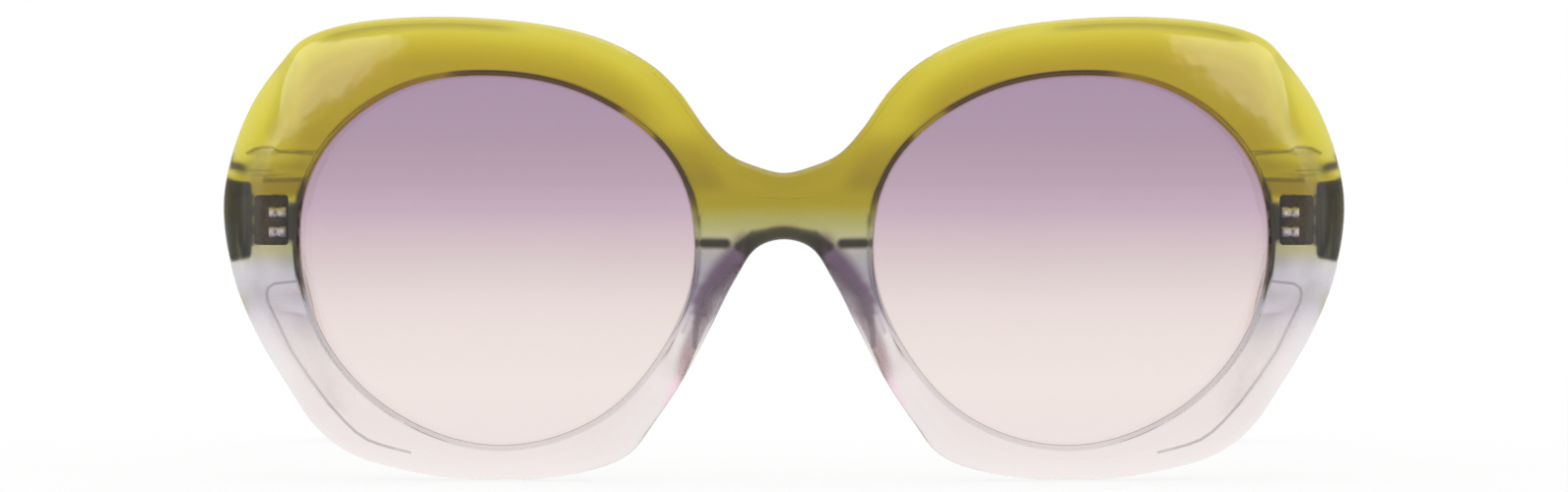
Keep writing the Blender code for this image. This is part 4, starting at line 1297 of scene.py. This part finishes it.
@dataclass
class Temples:
    """Two temples with steel cores: rounded sections along a gentle slope, a bend and a straight tail."""

    form: FrontForm
    thickness: float = 3.2 * MM
    inset: float = 0.6 * MM
    plate_proud: float = 0.04 * MM
    start_height: float = 9.9 * MM
    neck_height: float = 6.8 * MM
    tip_height: float = 9.2 * MM
    straight: float = 97.0 * MM
    bend_radius: float = 30.0 * MM
    slope: float = math.radians(4.0)
    drop: float = math.radians(42.0)
    tip_bow: float = 5.0 * MM
    bow_start: float = 80.0 * MM
    butt_gap: float = 0.3 * MM
    plate_length: float = 10.5 * MM
    axis_clearance: float = 0.2 * MM
    seat_gap: float = 0.25 * MM
    corner_power: float = 0.45
    start_power: float = 0.22
    tip_power: float = 0.5
    start_round: float = 0.35 * MM
    start_rings: int = 4
    straight_rings: int = 60
    bend_rings: int = 45
    tip_rings: int = 16
    tip_turn: tuple = (math.radians(4.0), math.radians(88.0))
    around: int = 56
    core_radius: float = 0.65 * MM
    core_tip_wall: float = 12.0 * MM
    core_chamfer: float = 0.2 * MM
    core_chamfer_share: float = 0.7
    core_lead: float = 1.0 * MM
    core_taper: float = 14.0 * MM
    core_thinning: float = 0.65
    core_rings: int = 90
    core_taper_rings: int = 15
    core_around: int = 20

    def __post_init__(self) -> None:
        """Works out the path's lengths and where it starts."""
        form = self.form
        self.x = form.half_width - self.inset - self.thickness / 2
        self.start_y = form.butt_y + self.butt_gap
        self.bend_length = self.bend_radius * (self.drop - self.slope)
        after_bend = (form.hinge_z - self.straight * math.sin(self.slope)
                      - self.bend_radius * (math.cos(self.slope) - math.cos(self.drop)))
        self.tip_radius = self.tip_height / 2
        self.tail = (after_bend - self.tip_radius + form.standing_flat) / math.sin(self.drop)
        self.length = self.straight + self.bend_length + self.tail

    def at(self, reach: np.ndarray) -> tuple[np.ndarray, np.ndarray]:
        """Returns points of the centre line and its slope: a straight, an arc and a straight, bowed inwards.

        Args:
            reach: Distances from the hinge end.

        Returns:
            Points in X, Y and Z, and slopes in radians.
        """
        form = self.form
        straight = np.minimum(reach, self.straight)
        bent = np.clip(reach - self.straight, 0, self.bend_length)
        tail = np.maximum(reach - self.straight - self.bend_length, 0)
        slope = self.slope + bent / self.bend_radius
        y = (self.start_y + straight * math.cos(self.slope)
             + self.bend_radius * (np.sin(slope) - math.sin(self.slope)) + tail * np.cos(slope))
        z = (form.hinge_z - straight * math.sin(self.slope)
             - self.bend_radius * (math.cos(self.slope) - np.cos(slope)) - tail * np.sin(slope))
        bow = self.tip_bow * (np.maximum(reach - self.bow_start, 0) / (self.length - self.bow_start)) ** 2
        return np.column_stack([self.x - bow, y + form.shift, z]), slope

    def half_height(self, reach: np.ndarray) -> np.ndarray:
        """Returns half the temple's height: full at the hinge, slim at the bend, wide again at the tip.

        Args:
            reach: Distances from the hinge end.

        Returns:
            Heights in metres.
        """
        slimming = ramp(reach, self.plate_length, self.straight)
        widening = ramp(reach, self.straight, self.length)
        return (self.start_height + (self.neck_height - self.start_height) * slimming
                + (self.tip_height - self.neck_height) * widening) / 2

    def rings(self, centre: np.ndarray, lean: np.ndarray, across: np.ndarray, rise: np.ndarray) -> np.ndarray:
        """Returns rings of points along the path, each square to a lean.

        Args:
            centre: Middle of each ring.
            lean: Slope of each ring in radians.
            across: How far each point of each ring lies sideways.
            rise: How far it lies upwards.

        Returns:
            Array of rings, points and X, Y, Z.
        """
        lean = lean[:, None]
        return centre[:, None] + np.stack([across, rise * np.sin(lean), rise * np.cos(lean)], axis=-1)

    def acetate(self) -> Skin:
        """Builds the right temple: superellipses along the path, rounded at the butt and closed by a tip.

        Returns:
            The skin, with the attribute run, 0 at the hinge and 1 at the tip.
        """
        body = np.concatenate([np.linspace(self.start_round, self.straight, self.straight_rings),
                               np.linspace(self.straight, self.length, self.bend_rings + 1)[1:]])
        turned = np.linspace(*self.tip_turn, self.tip_rings)
        rounding = np.linspace(0, QUARTER_TURN, self.start_rings + 1)[:-1]
        reach = np.concatenate([self.start_round * (1 - np.cos(rounding)), body,
                                self.length + self.tip_radius * np.sin(turned)])
        closing = np.concatenate([0 * rounding, 0 * body, turned])
        trim = np.concatenate([self.start_round * (1 - np.sin(rounding)), 0 * body, 0 * turned])
        centre, slope = self.at(reach)
        half_height = self.half_height(np.minimum(reach, self.length)) * np.cos(closing) - trim
        half_thick = self.thickness / 2 * np.cos(closing) ** self.tip_power - trim
        rounder = ramp(reach, self.plate_length, 3 * self.plate_length)
        power = (self.start_power + (self.corner_power - self.start_power) * rounder)[:, None]
        angle = angles(self.around) + math.pi / self.around
        across, rise = (np.copysign(np.abs(part)[None] ** power, part[None])
                        for part in (np.cos(angle), np.sin(angle)))
        lean = slope * ramp(reach, 0, 2 * self.plate_length)
        rings = self.rings(centre, lean, half_thick[:, None] * across, half_height[:, None] * rise)
        rings[..., 2] = np.maximum(rings[..., 2], 0.0)
        # The hinge plate stands a little proud of the inner side
        near = reach < 1.5 * self.plate_length
        inner = self.x - self.thickness / 2 + self.plate_proud
        rings[near, :, 0] = np.maximum(rings[near, :, 0], inner)
        made = tube(rings, rings[0].mean(axis=0)[None], rings[-1].mean(axis=0)[None])
        made.finishes = [0] * (len(made.faces) - 2 * self.around) + [1] * self.around + [0] * self.around
        run = np.repeat(np.clip(reach / self.length, 0, 1), self.around)
        made.attributes["run"] = np.append(run, [0.0, 1.0])
        return made

    def core(self) -> Skin:
        """Builds the right core: circles along the path, with a chamfered start and a tapered end.

        Returns:
            The skin.
        """
        start = self.axis_clearance - self.butt_gap + self.plate_length + 2 * self.seat_gap
        end = self.length - self.core_tip_wall
        taper = end - self.core_taper
        reach = np.concatenate([[start, start + self.core_chamfer],
                                np.linspace(start + self.core_lead, taper, self.core_rings),
                                np.linspace(taper, end, self.core_taper_rings + 1)[1:]])
        radius = self.core_radius * (1 - self.core_thinning * ramp(reach, taper, end))
        radius[0] *= self.core_chamfer_share
        centre, slope = self.at(reach)
        angle = angles(self.core_around)
        rings = self.rings(centre, slope, radius[:, None] * np.cos(angle), radius[:, None] * np.sin(angle))
        return tube(rings, centre[:1], centre[-1:])

    def build(self, acetate: Material, end: Material, steel: Material) -> None:
        """Makes both temples and cores and settles them.

        Args:
            acetate: The temples' finish.
            end: The finish of their sawn ends, in painted shade.
            steel: The cores' finish.
        """
        body, wire = self.acetate(), self.core()
        for side in Side:
            name = f"temple_{side.word}"
            made = piece(f"acetate_{name}", body.on(side), [acetate, end], sharp=50.0)
            settle(made, name, Slot.TEMPLE, name)
            made = piece(f"core_wire_{side.word}", wire.on(side), [steel])
            settle(made, name, Slot.CORE, f"temple_core_{side.word}")


@dataclass
class Hinges:
    """Five-barrel hinges: a plate with three knuckles in the front, one with two in the temple, and a screw.

    The dome holds shares of the screw head's radius and height, and the foot's profile places and radii in
    millimetres.
    """

    form: FrontForm
    temples: Temples
    wall: float = 1.7 * MM
    knuckle_radius: float = 1.2 * MM
    front_knuckle: float = 0.9 * MM
    temple_knuckle: float = 1.3 * MM
    running_gap: float = 0.1 * MM
    plate_thickness: float = 1.0 * MM
    plate_margin: float = 0.4 * MM
    plate_corner: float = 0.5 * MM
    screw_radius: float = 0.55 * MM
    head_radius: float = 0.95 * MM
    head_height: float = 0.45 * MM
    dome: tuple = ((1.0, 0.6), (0.9, 0.85), (0.6, 1.0))
    slot_width: float = 0.3 * MM
    slot_depth: float = 0.25 * MM
    slot_length: float = 3.0 * MM
    slot_sharp: float = 30.0
    edge: float = 0.12 * MM
    edge_knee: float = 0.3
    foot_profile: tuple = (
        (-1.15, 0.55), (-1.1, 0.68), (-0.9, 0.72), (-0.3, 0.72), (-0.2, 0.62), (0.0, 0.6),
        (0.2, 0.62), (0.3, 0.72), (0.9, 0.72), (1.1, 0.68), (1.15, 0.55),
    )
    foot_flatness: float = 0.7
    foot_inset: float = 1.45 * MM
    foot_levels: tuple = (1.0 * MM, -1.5 * MM)
    around: int = 64
    screw_around: int = 40
    foot_around: int = 24

    def __post_init__(self) -> None:
        """Works out the axis and the knuckles' levels."""
        form, temples = self.form, self.temples
        self.plate_inner = form.lens_outer_x + self.wall
        self.axis_x = self.plate_inner + self.knuckle_radius + self.running_gap
        self.axis_y = form.butt_y + temples.axis_clearance + self.knuckle_radius
        self.temple_inner = form.half_width - temples.inset - temples.thickness
        self.height = 3 * self.front_knuckle + 2 * self.temple_knuckle + 4 * self.running_gap
        self.plate_low = form.hinge_z - self.height / 2 - self.plate_margin
        self.plate_high = form.hinge_z + self.height / 2 + self.plate_margin
        self.levels = []
        level = form.hinge_z - self.height / 2
        for index in range(5):
            tall = self.temple_knuckle if index % 2 else self.front_knuckle
            self.levels.append((level, level + tall))
            level += tall + self.running_gap

    def slab(self, low: tuple, high: tuple, axis: int) -> Skin:
        """Builds a plate: rounded rectangles, drawn in a little at both faces.

        Args:
            low: Lowest corner.
            high: Highest corner.
            axis: The axis across the plate's thickness.

        Returns:
            The skin.
        """
        low, high = np.array(low), np.array(high)
        plane = [other for other in range(3) if other != axis]
        half = (high - low)[plane] / 2
        centre = (high + low) / 2
        arc = np.column_stack([np.cos(angles(self.around)), np.sin(angles(self.around))])
        knee = self.edge_knee * self.edge
        drawn_in = [(0.0, self.edge), (knee, knee), (self.edge, 0.0)]
        drawn_in += [((high - low)[axis] - level, trim) for level, trim in drawn_in[::-1]]
        rings = np.empty((len(drawn_in), self.around, 3))
        for ring, (level, trim) in zip(rings, drawn_in):
            ring[:, plane] = (centre[plane] + np.sign(arc) * (half - self.plate_corner)
                              + arc * (self.plate_corner - trim))
            ring[:, axis] = low[axis] + level
        ends = np.tile(centre, (2, 1))
        ends[:, axis] = low[axis], high[axis]
        return tube(rings, ends[:1], ends[1:])

    def turned(self, profile: tuple | list, turn: np.ndarray) -> np.ndarray:
        """Returns rings about the hinge's axis: a profile's points, carried round it.

        Args:
            profile: Radius, or radii angle by angle, and Z of each ring.
            turn: Angles of a ring's points.

        Returns:
            Array of rings, points and X, Y, Z.
        """
        y = self.axis_y + self.form.shift
        return np.array([np.column_stack([self.axis_x + radius * np.cos(turn), y + radius * np.sin(turn),
                                          np.full(len(turn), z)]) for radius, z in profile])

    def knuckle(self, root: float, reach: float, low: float, high: float) -> Skin:
        """Builds a knuckle with its bore: at each angle, the lesser of the round's and the root's reach.

        Args:
            root: Angle of its root about the axis.
            reach: How far the root goes.
            low: Its bottom.
            high: Its top.

        Returns:
            The skin.
        """
        turn = angles(self.around)
        off = np.abs((turn - root + math.pi) % (2 * math.pi) - math.pi)
        least = 1e-3
        straight = np.minimum(self.knuckle_radius / np.maximum(np.sin(off), least),
                              reach / np.maximum(np.cos(off), least))
        outer = np.where(off < QUARTER_TURN, straight, self.knuckle_radius)
        bore = self.screw_radius + self.running_gap / 2
        edge = self.edge / 2
        section = ((outer - edge, low), (outer, low + edge), (outer, high - edge), (outer - edge, high),
                   (bore, high), (bore, low))
        rings = self.turned(section, turn)
        return Skin(rings.reshape(-1, 3), grid_faces(len(rings), self.around, True, True))

    def foot(self, x: float, z: float) -> Skin:
        """Builds one of the front plate's feet, a short roller that grips the acetate.

        Args:
            x: Its middle across.
            z: Its height.

        Returns:
            The skin.
        """
        turn = angles(self.foot_around)
        y = self.form.butt_y - self.plate_thickness + self.form.shift
        rings = np.array([np.column_stack([np.full(len(turn), x + place * MM),
                                           y + self.foot_flatness * radius * MM * np.sin(turn),
                                           z + radius * MM * np.cos(turn)])
                          for place, radius in self.foot_profile])
        return tube(rings, rings[0].mean(0)[None], rings[-1].mean(0)[None])

    def front_leaf(self) -> Skin:
        """Builds the right front leaf. Finish 1 is its plate's underside, and 2 its bright feet.

        Returns:
            The skin.
        """
        form = self.form
        butt = form.butt_y + form.shift
        leaf = self.slab((self.plate_inner, butt - self.plate_thickness, self.plate_low),
                         (self.temple_inner - self.temples.seat_gap, butt, self.plate_high), 1)
        reach = self.axis_y - form.butt_y + self.plate_thickness / 2
        for level in self.levels[::2]:
            leaf = leaf.joined(self.knuckle(-QUARTER_TURN, reach, *level))
        flat = leaf.points[:, 1].min() + self.edge
        leaf.finishes = [1 if max(leaf.points[face, 1]) < flat else 0 for face in leaf.faces]
        for level in self.foot_levels:
            foot = self.foot(self.plate_inner + self.foot_inset, form.hinge_z + level)
            foot.finishes = [2] * len(foot.faces)
            leaf = leaf.joined(foot)
        return leaf

    def temple_leaf(self) -> Skin:
        """Builds the right temple leaf.

        Returns:
            The skin.
        """
        start = self.axis_y - self.knuckle_radius + self.form.shift
        leaf = self.slab((self.temple_inner, start, self.plate_low),
                         (self.temple_inner + self.plate_thickness, start + self.temples.plate_length,
                          self.plate_high), 0)
        reach = self.temple_inner - self.axis_x + self.plate_thickness / 2
        for level in self.levels[1::2]:
            leaf = leaf.joined(self.knuckle(0.0, reach, *level))
        return leaf

    def screw(self) -> Skin:
        """Builds the right screw: a turned profile with a domed head.

        Returns:
            The skin.
        """
        bottom = self.form.hinge_z - self.height / 2
        head = bottom + self.height + self.running_gap
        profile = [(self.screw_radius - self.edge, bottom), (self.screw_radius, bottom + self.edge),
                   (self.screw_radius, head), (self.head_radius - self.edge / 2, head),
                   (self.head_radius, head + self.edge / 2)]
        profile += [(self.head_radius * across, head + self.head_height * up) for across, up in self.dome]
        rings = self.turned(profile, angles(self.screw_around))
        return tube(rings, rings[0].mean(0)[None], rings[-1].mean(0)[None])

    def slotted(self, made: Object, side: Side) -> None:
        """Cuts the driver's slot across a screw's head.

        Args:
            made: The screw.
            side: Its side.
        """
        top = self.form.hinge_z + self.height / 2 + self.running_gap + self.head_height
        place = Vector((self.axis_x * side.value, self.axis_y + self.form.shift, top))
        size = Vector((self.slot_length, self.slot_width, 2 * self.slot_depth))
        mesh = bpy.data.meshes.new("slot")
        shape = bmesh.new()
        bmesh.ops.create_cube(shape, size=1, matrix=Matrix.LocRotScale(place, None, size))
        shape.to_mesh(mesh)
        shape.free()
        cutter = linked("slot", mesh)
        modifier = made.modifiers.new("slot", "BOOLEAN")
        modifier.operation, modifier.object = "DIFFERENCE", cutter
        baked(made)
        bpy.data.objects.remove(cutter)
        smoothed(made, self.slot_sharp)

    def build(self, nickel: Material, seat: Material, bright: Material, steel: Material) -> None:
        """Makes the leaves and screws of both sides and settles them.

        Args:
            nickel: The leaves' finish.
            seat: The finish of the front plate's underside.
            bright: The feet's finish.
            steel: The screws' finish.
        """
        front_leaf, temple_leaf, screw = self.front_leaf(), self.temple_leaf(), self.screw()
        for side in Side:
            word = side.word
            made = piece(f"front_barrel_hinge_leaf_{word}", front_leaf.on(side), [nickel, seat, bright])
            settle(made, "front", Slot.HINGE, f"front_hinge_leaf_{word}")
            made = piece(f"temple_barrel_hinge_leaf_{word}", temple_leaf.on(side), [nickel])
            settle(made, f"temple_{word}", Slot.HINGE, f"temple_hinge_leaf_{word}")
            made = piece(f"slotted_screw_{word}", screw.on(side), [steel])
            self.slotted(made, side)
            settle(made, "front", Slot.SCREW, f"hinge_screw_{word}")


@dataclass(frozen=True)
class SoftBox:
    """An area lamp: its place, what it points at, its width and height, its power and its roll in radians."""

    name: str
    place: tuple
    target: tuple
    size: tuple
    power: float
    roll: float = 0.0

    def build(self) -> Object:
        """Adds the lamp.

        Returns:
            The lamp.
        """
        data = bpy.data.lights.new(self.name, "AREA")
        data.shape = "RECTANGLE"
        data.size, data.size_y = self.size
        data.energy = self.power
        made = linked(self.name, data)
        made.location = self.place
        aimed = (Vector(self.target) - Vector(self.place)).to_track_quat("-Z", "Y")
        made.rotation_euler = (aimed @ Quaternion((0, 0, 1), self.roll)).to_euler()
        return made


@dataclass
class Studio:
    """A pale floor and background, level light and the camera of the photograph."""

    form: FrontForm
    view_width: float = 200.9 * MM
    view_middle: float = 30.0 * MM
    reference_depth: float = 5.0 * MM
    distance: float = 1.15
    camera_height: float = 48.0 * MM
    sensor_width: float = 36.0
    clip: tuple = (0.01, 20.0)
    sky_light: float = 0.85
    floor_size: float = 8.0
    floor_drop: float = 0.05 * MM
    paper: str = "F2F2F1"
    paper_roughness: float = 0.9
    paper_glow: float = 1.02
    cover_reach: tuple = (0.12, 0.4)
    cover_shares: tuple = (0.8, 1.0)
    window_roll: float = math.radians(36.0)

    def background(self, nodes: Nodes) -> NodeSocket:
        """Tells rays that show the background from those that light the object.

        Args:
            nodes: The tree that gets the nodes.

        Returns:
            1 for a ray from the camera, a reflection or a view through glass, and 0 for other light.
        """
        path = nodes.add("LightPath").outputs
        seen = nodes.calc("MAXIMUM", path["Is Camera Ray"], path["Is Glossy Ray"])
        return nodes.calc("MAXIMUM", seen, path["Is Transmission Ray"])

    def sky(self) -> None:
        """Makes the world: white behind the object, and a plain level of light on it."""
        world = bpy.data.worlds.new("studio_white")
        bpy.context.scene.world = world
        world.use_nodes = True
        world.node_tree.nodes.clear()
        nodes = Nodes(world.node_tree)
        light, white = (nodes.add("Background", {"Color": WHITE, "Strength": strength}).outputs[0]
                        for strength in (self.sky_light, 1.0))
        mixed = nodes.add("MixShader", {0: self.background(nodes), 1: light, 2: white}).outputs[0]
        nodes.add("OutputWorld", {0: mixed})

    def floor(self) -> None:
        """Makes the pale floor, which keeps a light shadow. White takes over away from the object."""
        half = self.floor_size / 2
        mesh = bpy.data.meshes.new("floor")
        plan = ((-half, -half), (half, -half), (half, half), (-half, half))
        corners = [(x, y, -self.floor_drop) for x, y in plan]
        mesh.from_pydata(corners, [], [(0, 1, 2, 3)])
        finish = Finish("pale_paper")
        mesh.materials.append(finish.done({
            "Base Color": linear(self.paper), "Roughness": self.paper_roughness, "Specular IOR Level": 0.0}))
        glow = finish.add("Emission", {"Color": WHITE, "Strength": self.paper_glow}).outputs[0]
        away = finish.add("VectorMath", {0: finish.place}, operation="LENGTH").outputs["Value"]
        cover = finish.mapped(away, self.cover_reach, self.cover_shares, smooth=True)
        share = finish.calc("MULTIPLY", self.background(finish), cover)
        paper = finish.tree.nodes["Principled BSDF"].outputs[0]
        mixed = finish.add("MixShader", {0: share, 1: paper, 2: glow}).outputs[0]
        finish.feed(finish.tree.nodes["Material Output"], {"Surface": mixed})
        made = linked("floor", mesh)

    def camera(self) -> None:
        """Adds the camera: in front and a little above, with the view's width matched at the front."""
        data = bpy.data.cameras.new("camera")
        data.sensor_width = self.sensor_width
        data.lens = data.sensor_width * self.distance / self.view_width
        data.clip_start, data.clip_end = self.clip
        made = linked("camera", data)
        target = Vector((0.0, self.form.shift + self.reference_depth, self.view_middle))
        made.location = target + Vector((0.0, -self.distance, self.camera_height - self.view_middle))
        made.rotation_euler = (target - made.location).to_track_quat("-Z", "Y").to_euler()
        bpy.context.scene.camera = made

    def lamps(self) -> None:
        """Adds a soft light above and two small windows, soft patches on the upper outer rims only."""
        SoftBox("overhead", place=(0.0, 0.05, 1.1), target=(0.0, 0.0, 0.0), size=(0.9, 0.9),
                power=2.5).build()
        fronts = bpy.data.collections.new("front_only")
        fronts.objects.link(bpy.data.objects["acetate_front"])
        for side in Side:
            sign = side.value
            window = SoftBox(f"window_{side.word}", place=(0.464 * sign, -1.2, 0.119),
                             target=(0.055 * sign, self.form.shift, 0.048), size=(0.09, 0.20), power=0.18,
                             roll=-self.window_roll * sign)
            window.build().light_linking.receiver_collection = fronts

    def build(self) -> None:
        """Sets the studio up."""
        bpy.context.scene.view_settings.view_transform = "Standard"
        self.sky()
        self.floor()
        self.camera()
        self.lamps()


def main() -> None:
    """Builds the sunglasses and the studio."""
    logging.basicConfig(level=logging.INFO, format="%(name)s %(message)s")
    form = FrontForm()
    temples = Temples(form)
    nickel = Metal("nickel_plated_brass", "D2CCBE", "B9B1A0", 0.22, 0.5 * MM)
    # The front plate's underside is dark brown.
    seat = Metal("dark_plate_underside", "54442C", "3C2F1D", 0.4, 0.5 * MM)
    # Painted light: the feet's lilac white offsets the yellow light that reaches them through the acetate.
    bright = Metal("bright_rhodium_feet", "EFE4FA", "CDC3DC", 0.35, 0.4 * MM)
    steel = Metal("turned_steel", "CBC8C2", "ABA7A0", 0.2, 0.3 * MM, (1.0, 1.0, 4.0))
    wire = Metal("drawn_nickel_silver", "E9E6DF", "D6D2C8", 0.3, 0.4 * MM, (1.0, 0.1, 1.0))
    temple_finish = TempleAcetate()
    Front(form).build(LaminatedAcetate().material())
    Lenses(form).build(GradientLens().material())
    temples.build(temple_finish.material(), temple_finish.end_material(), wire.material())
    Hinges(form, temples).build(nickel.material(), seat.material(), bright.material(), steel.material())
    Studio(form).build()


if __name__ == "__main__":
    main()
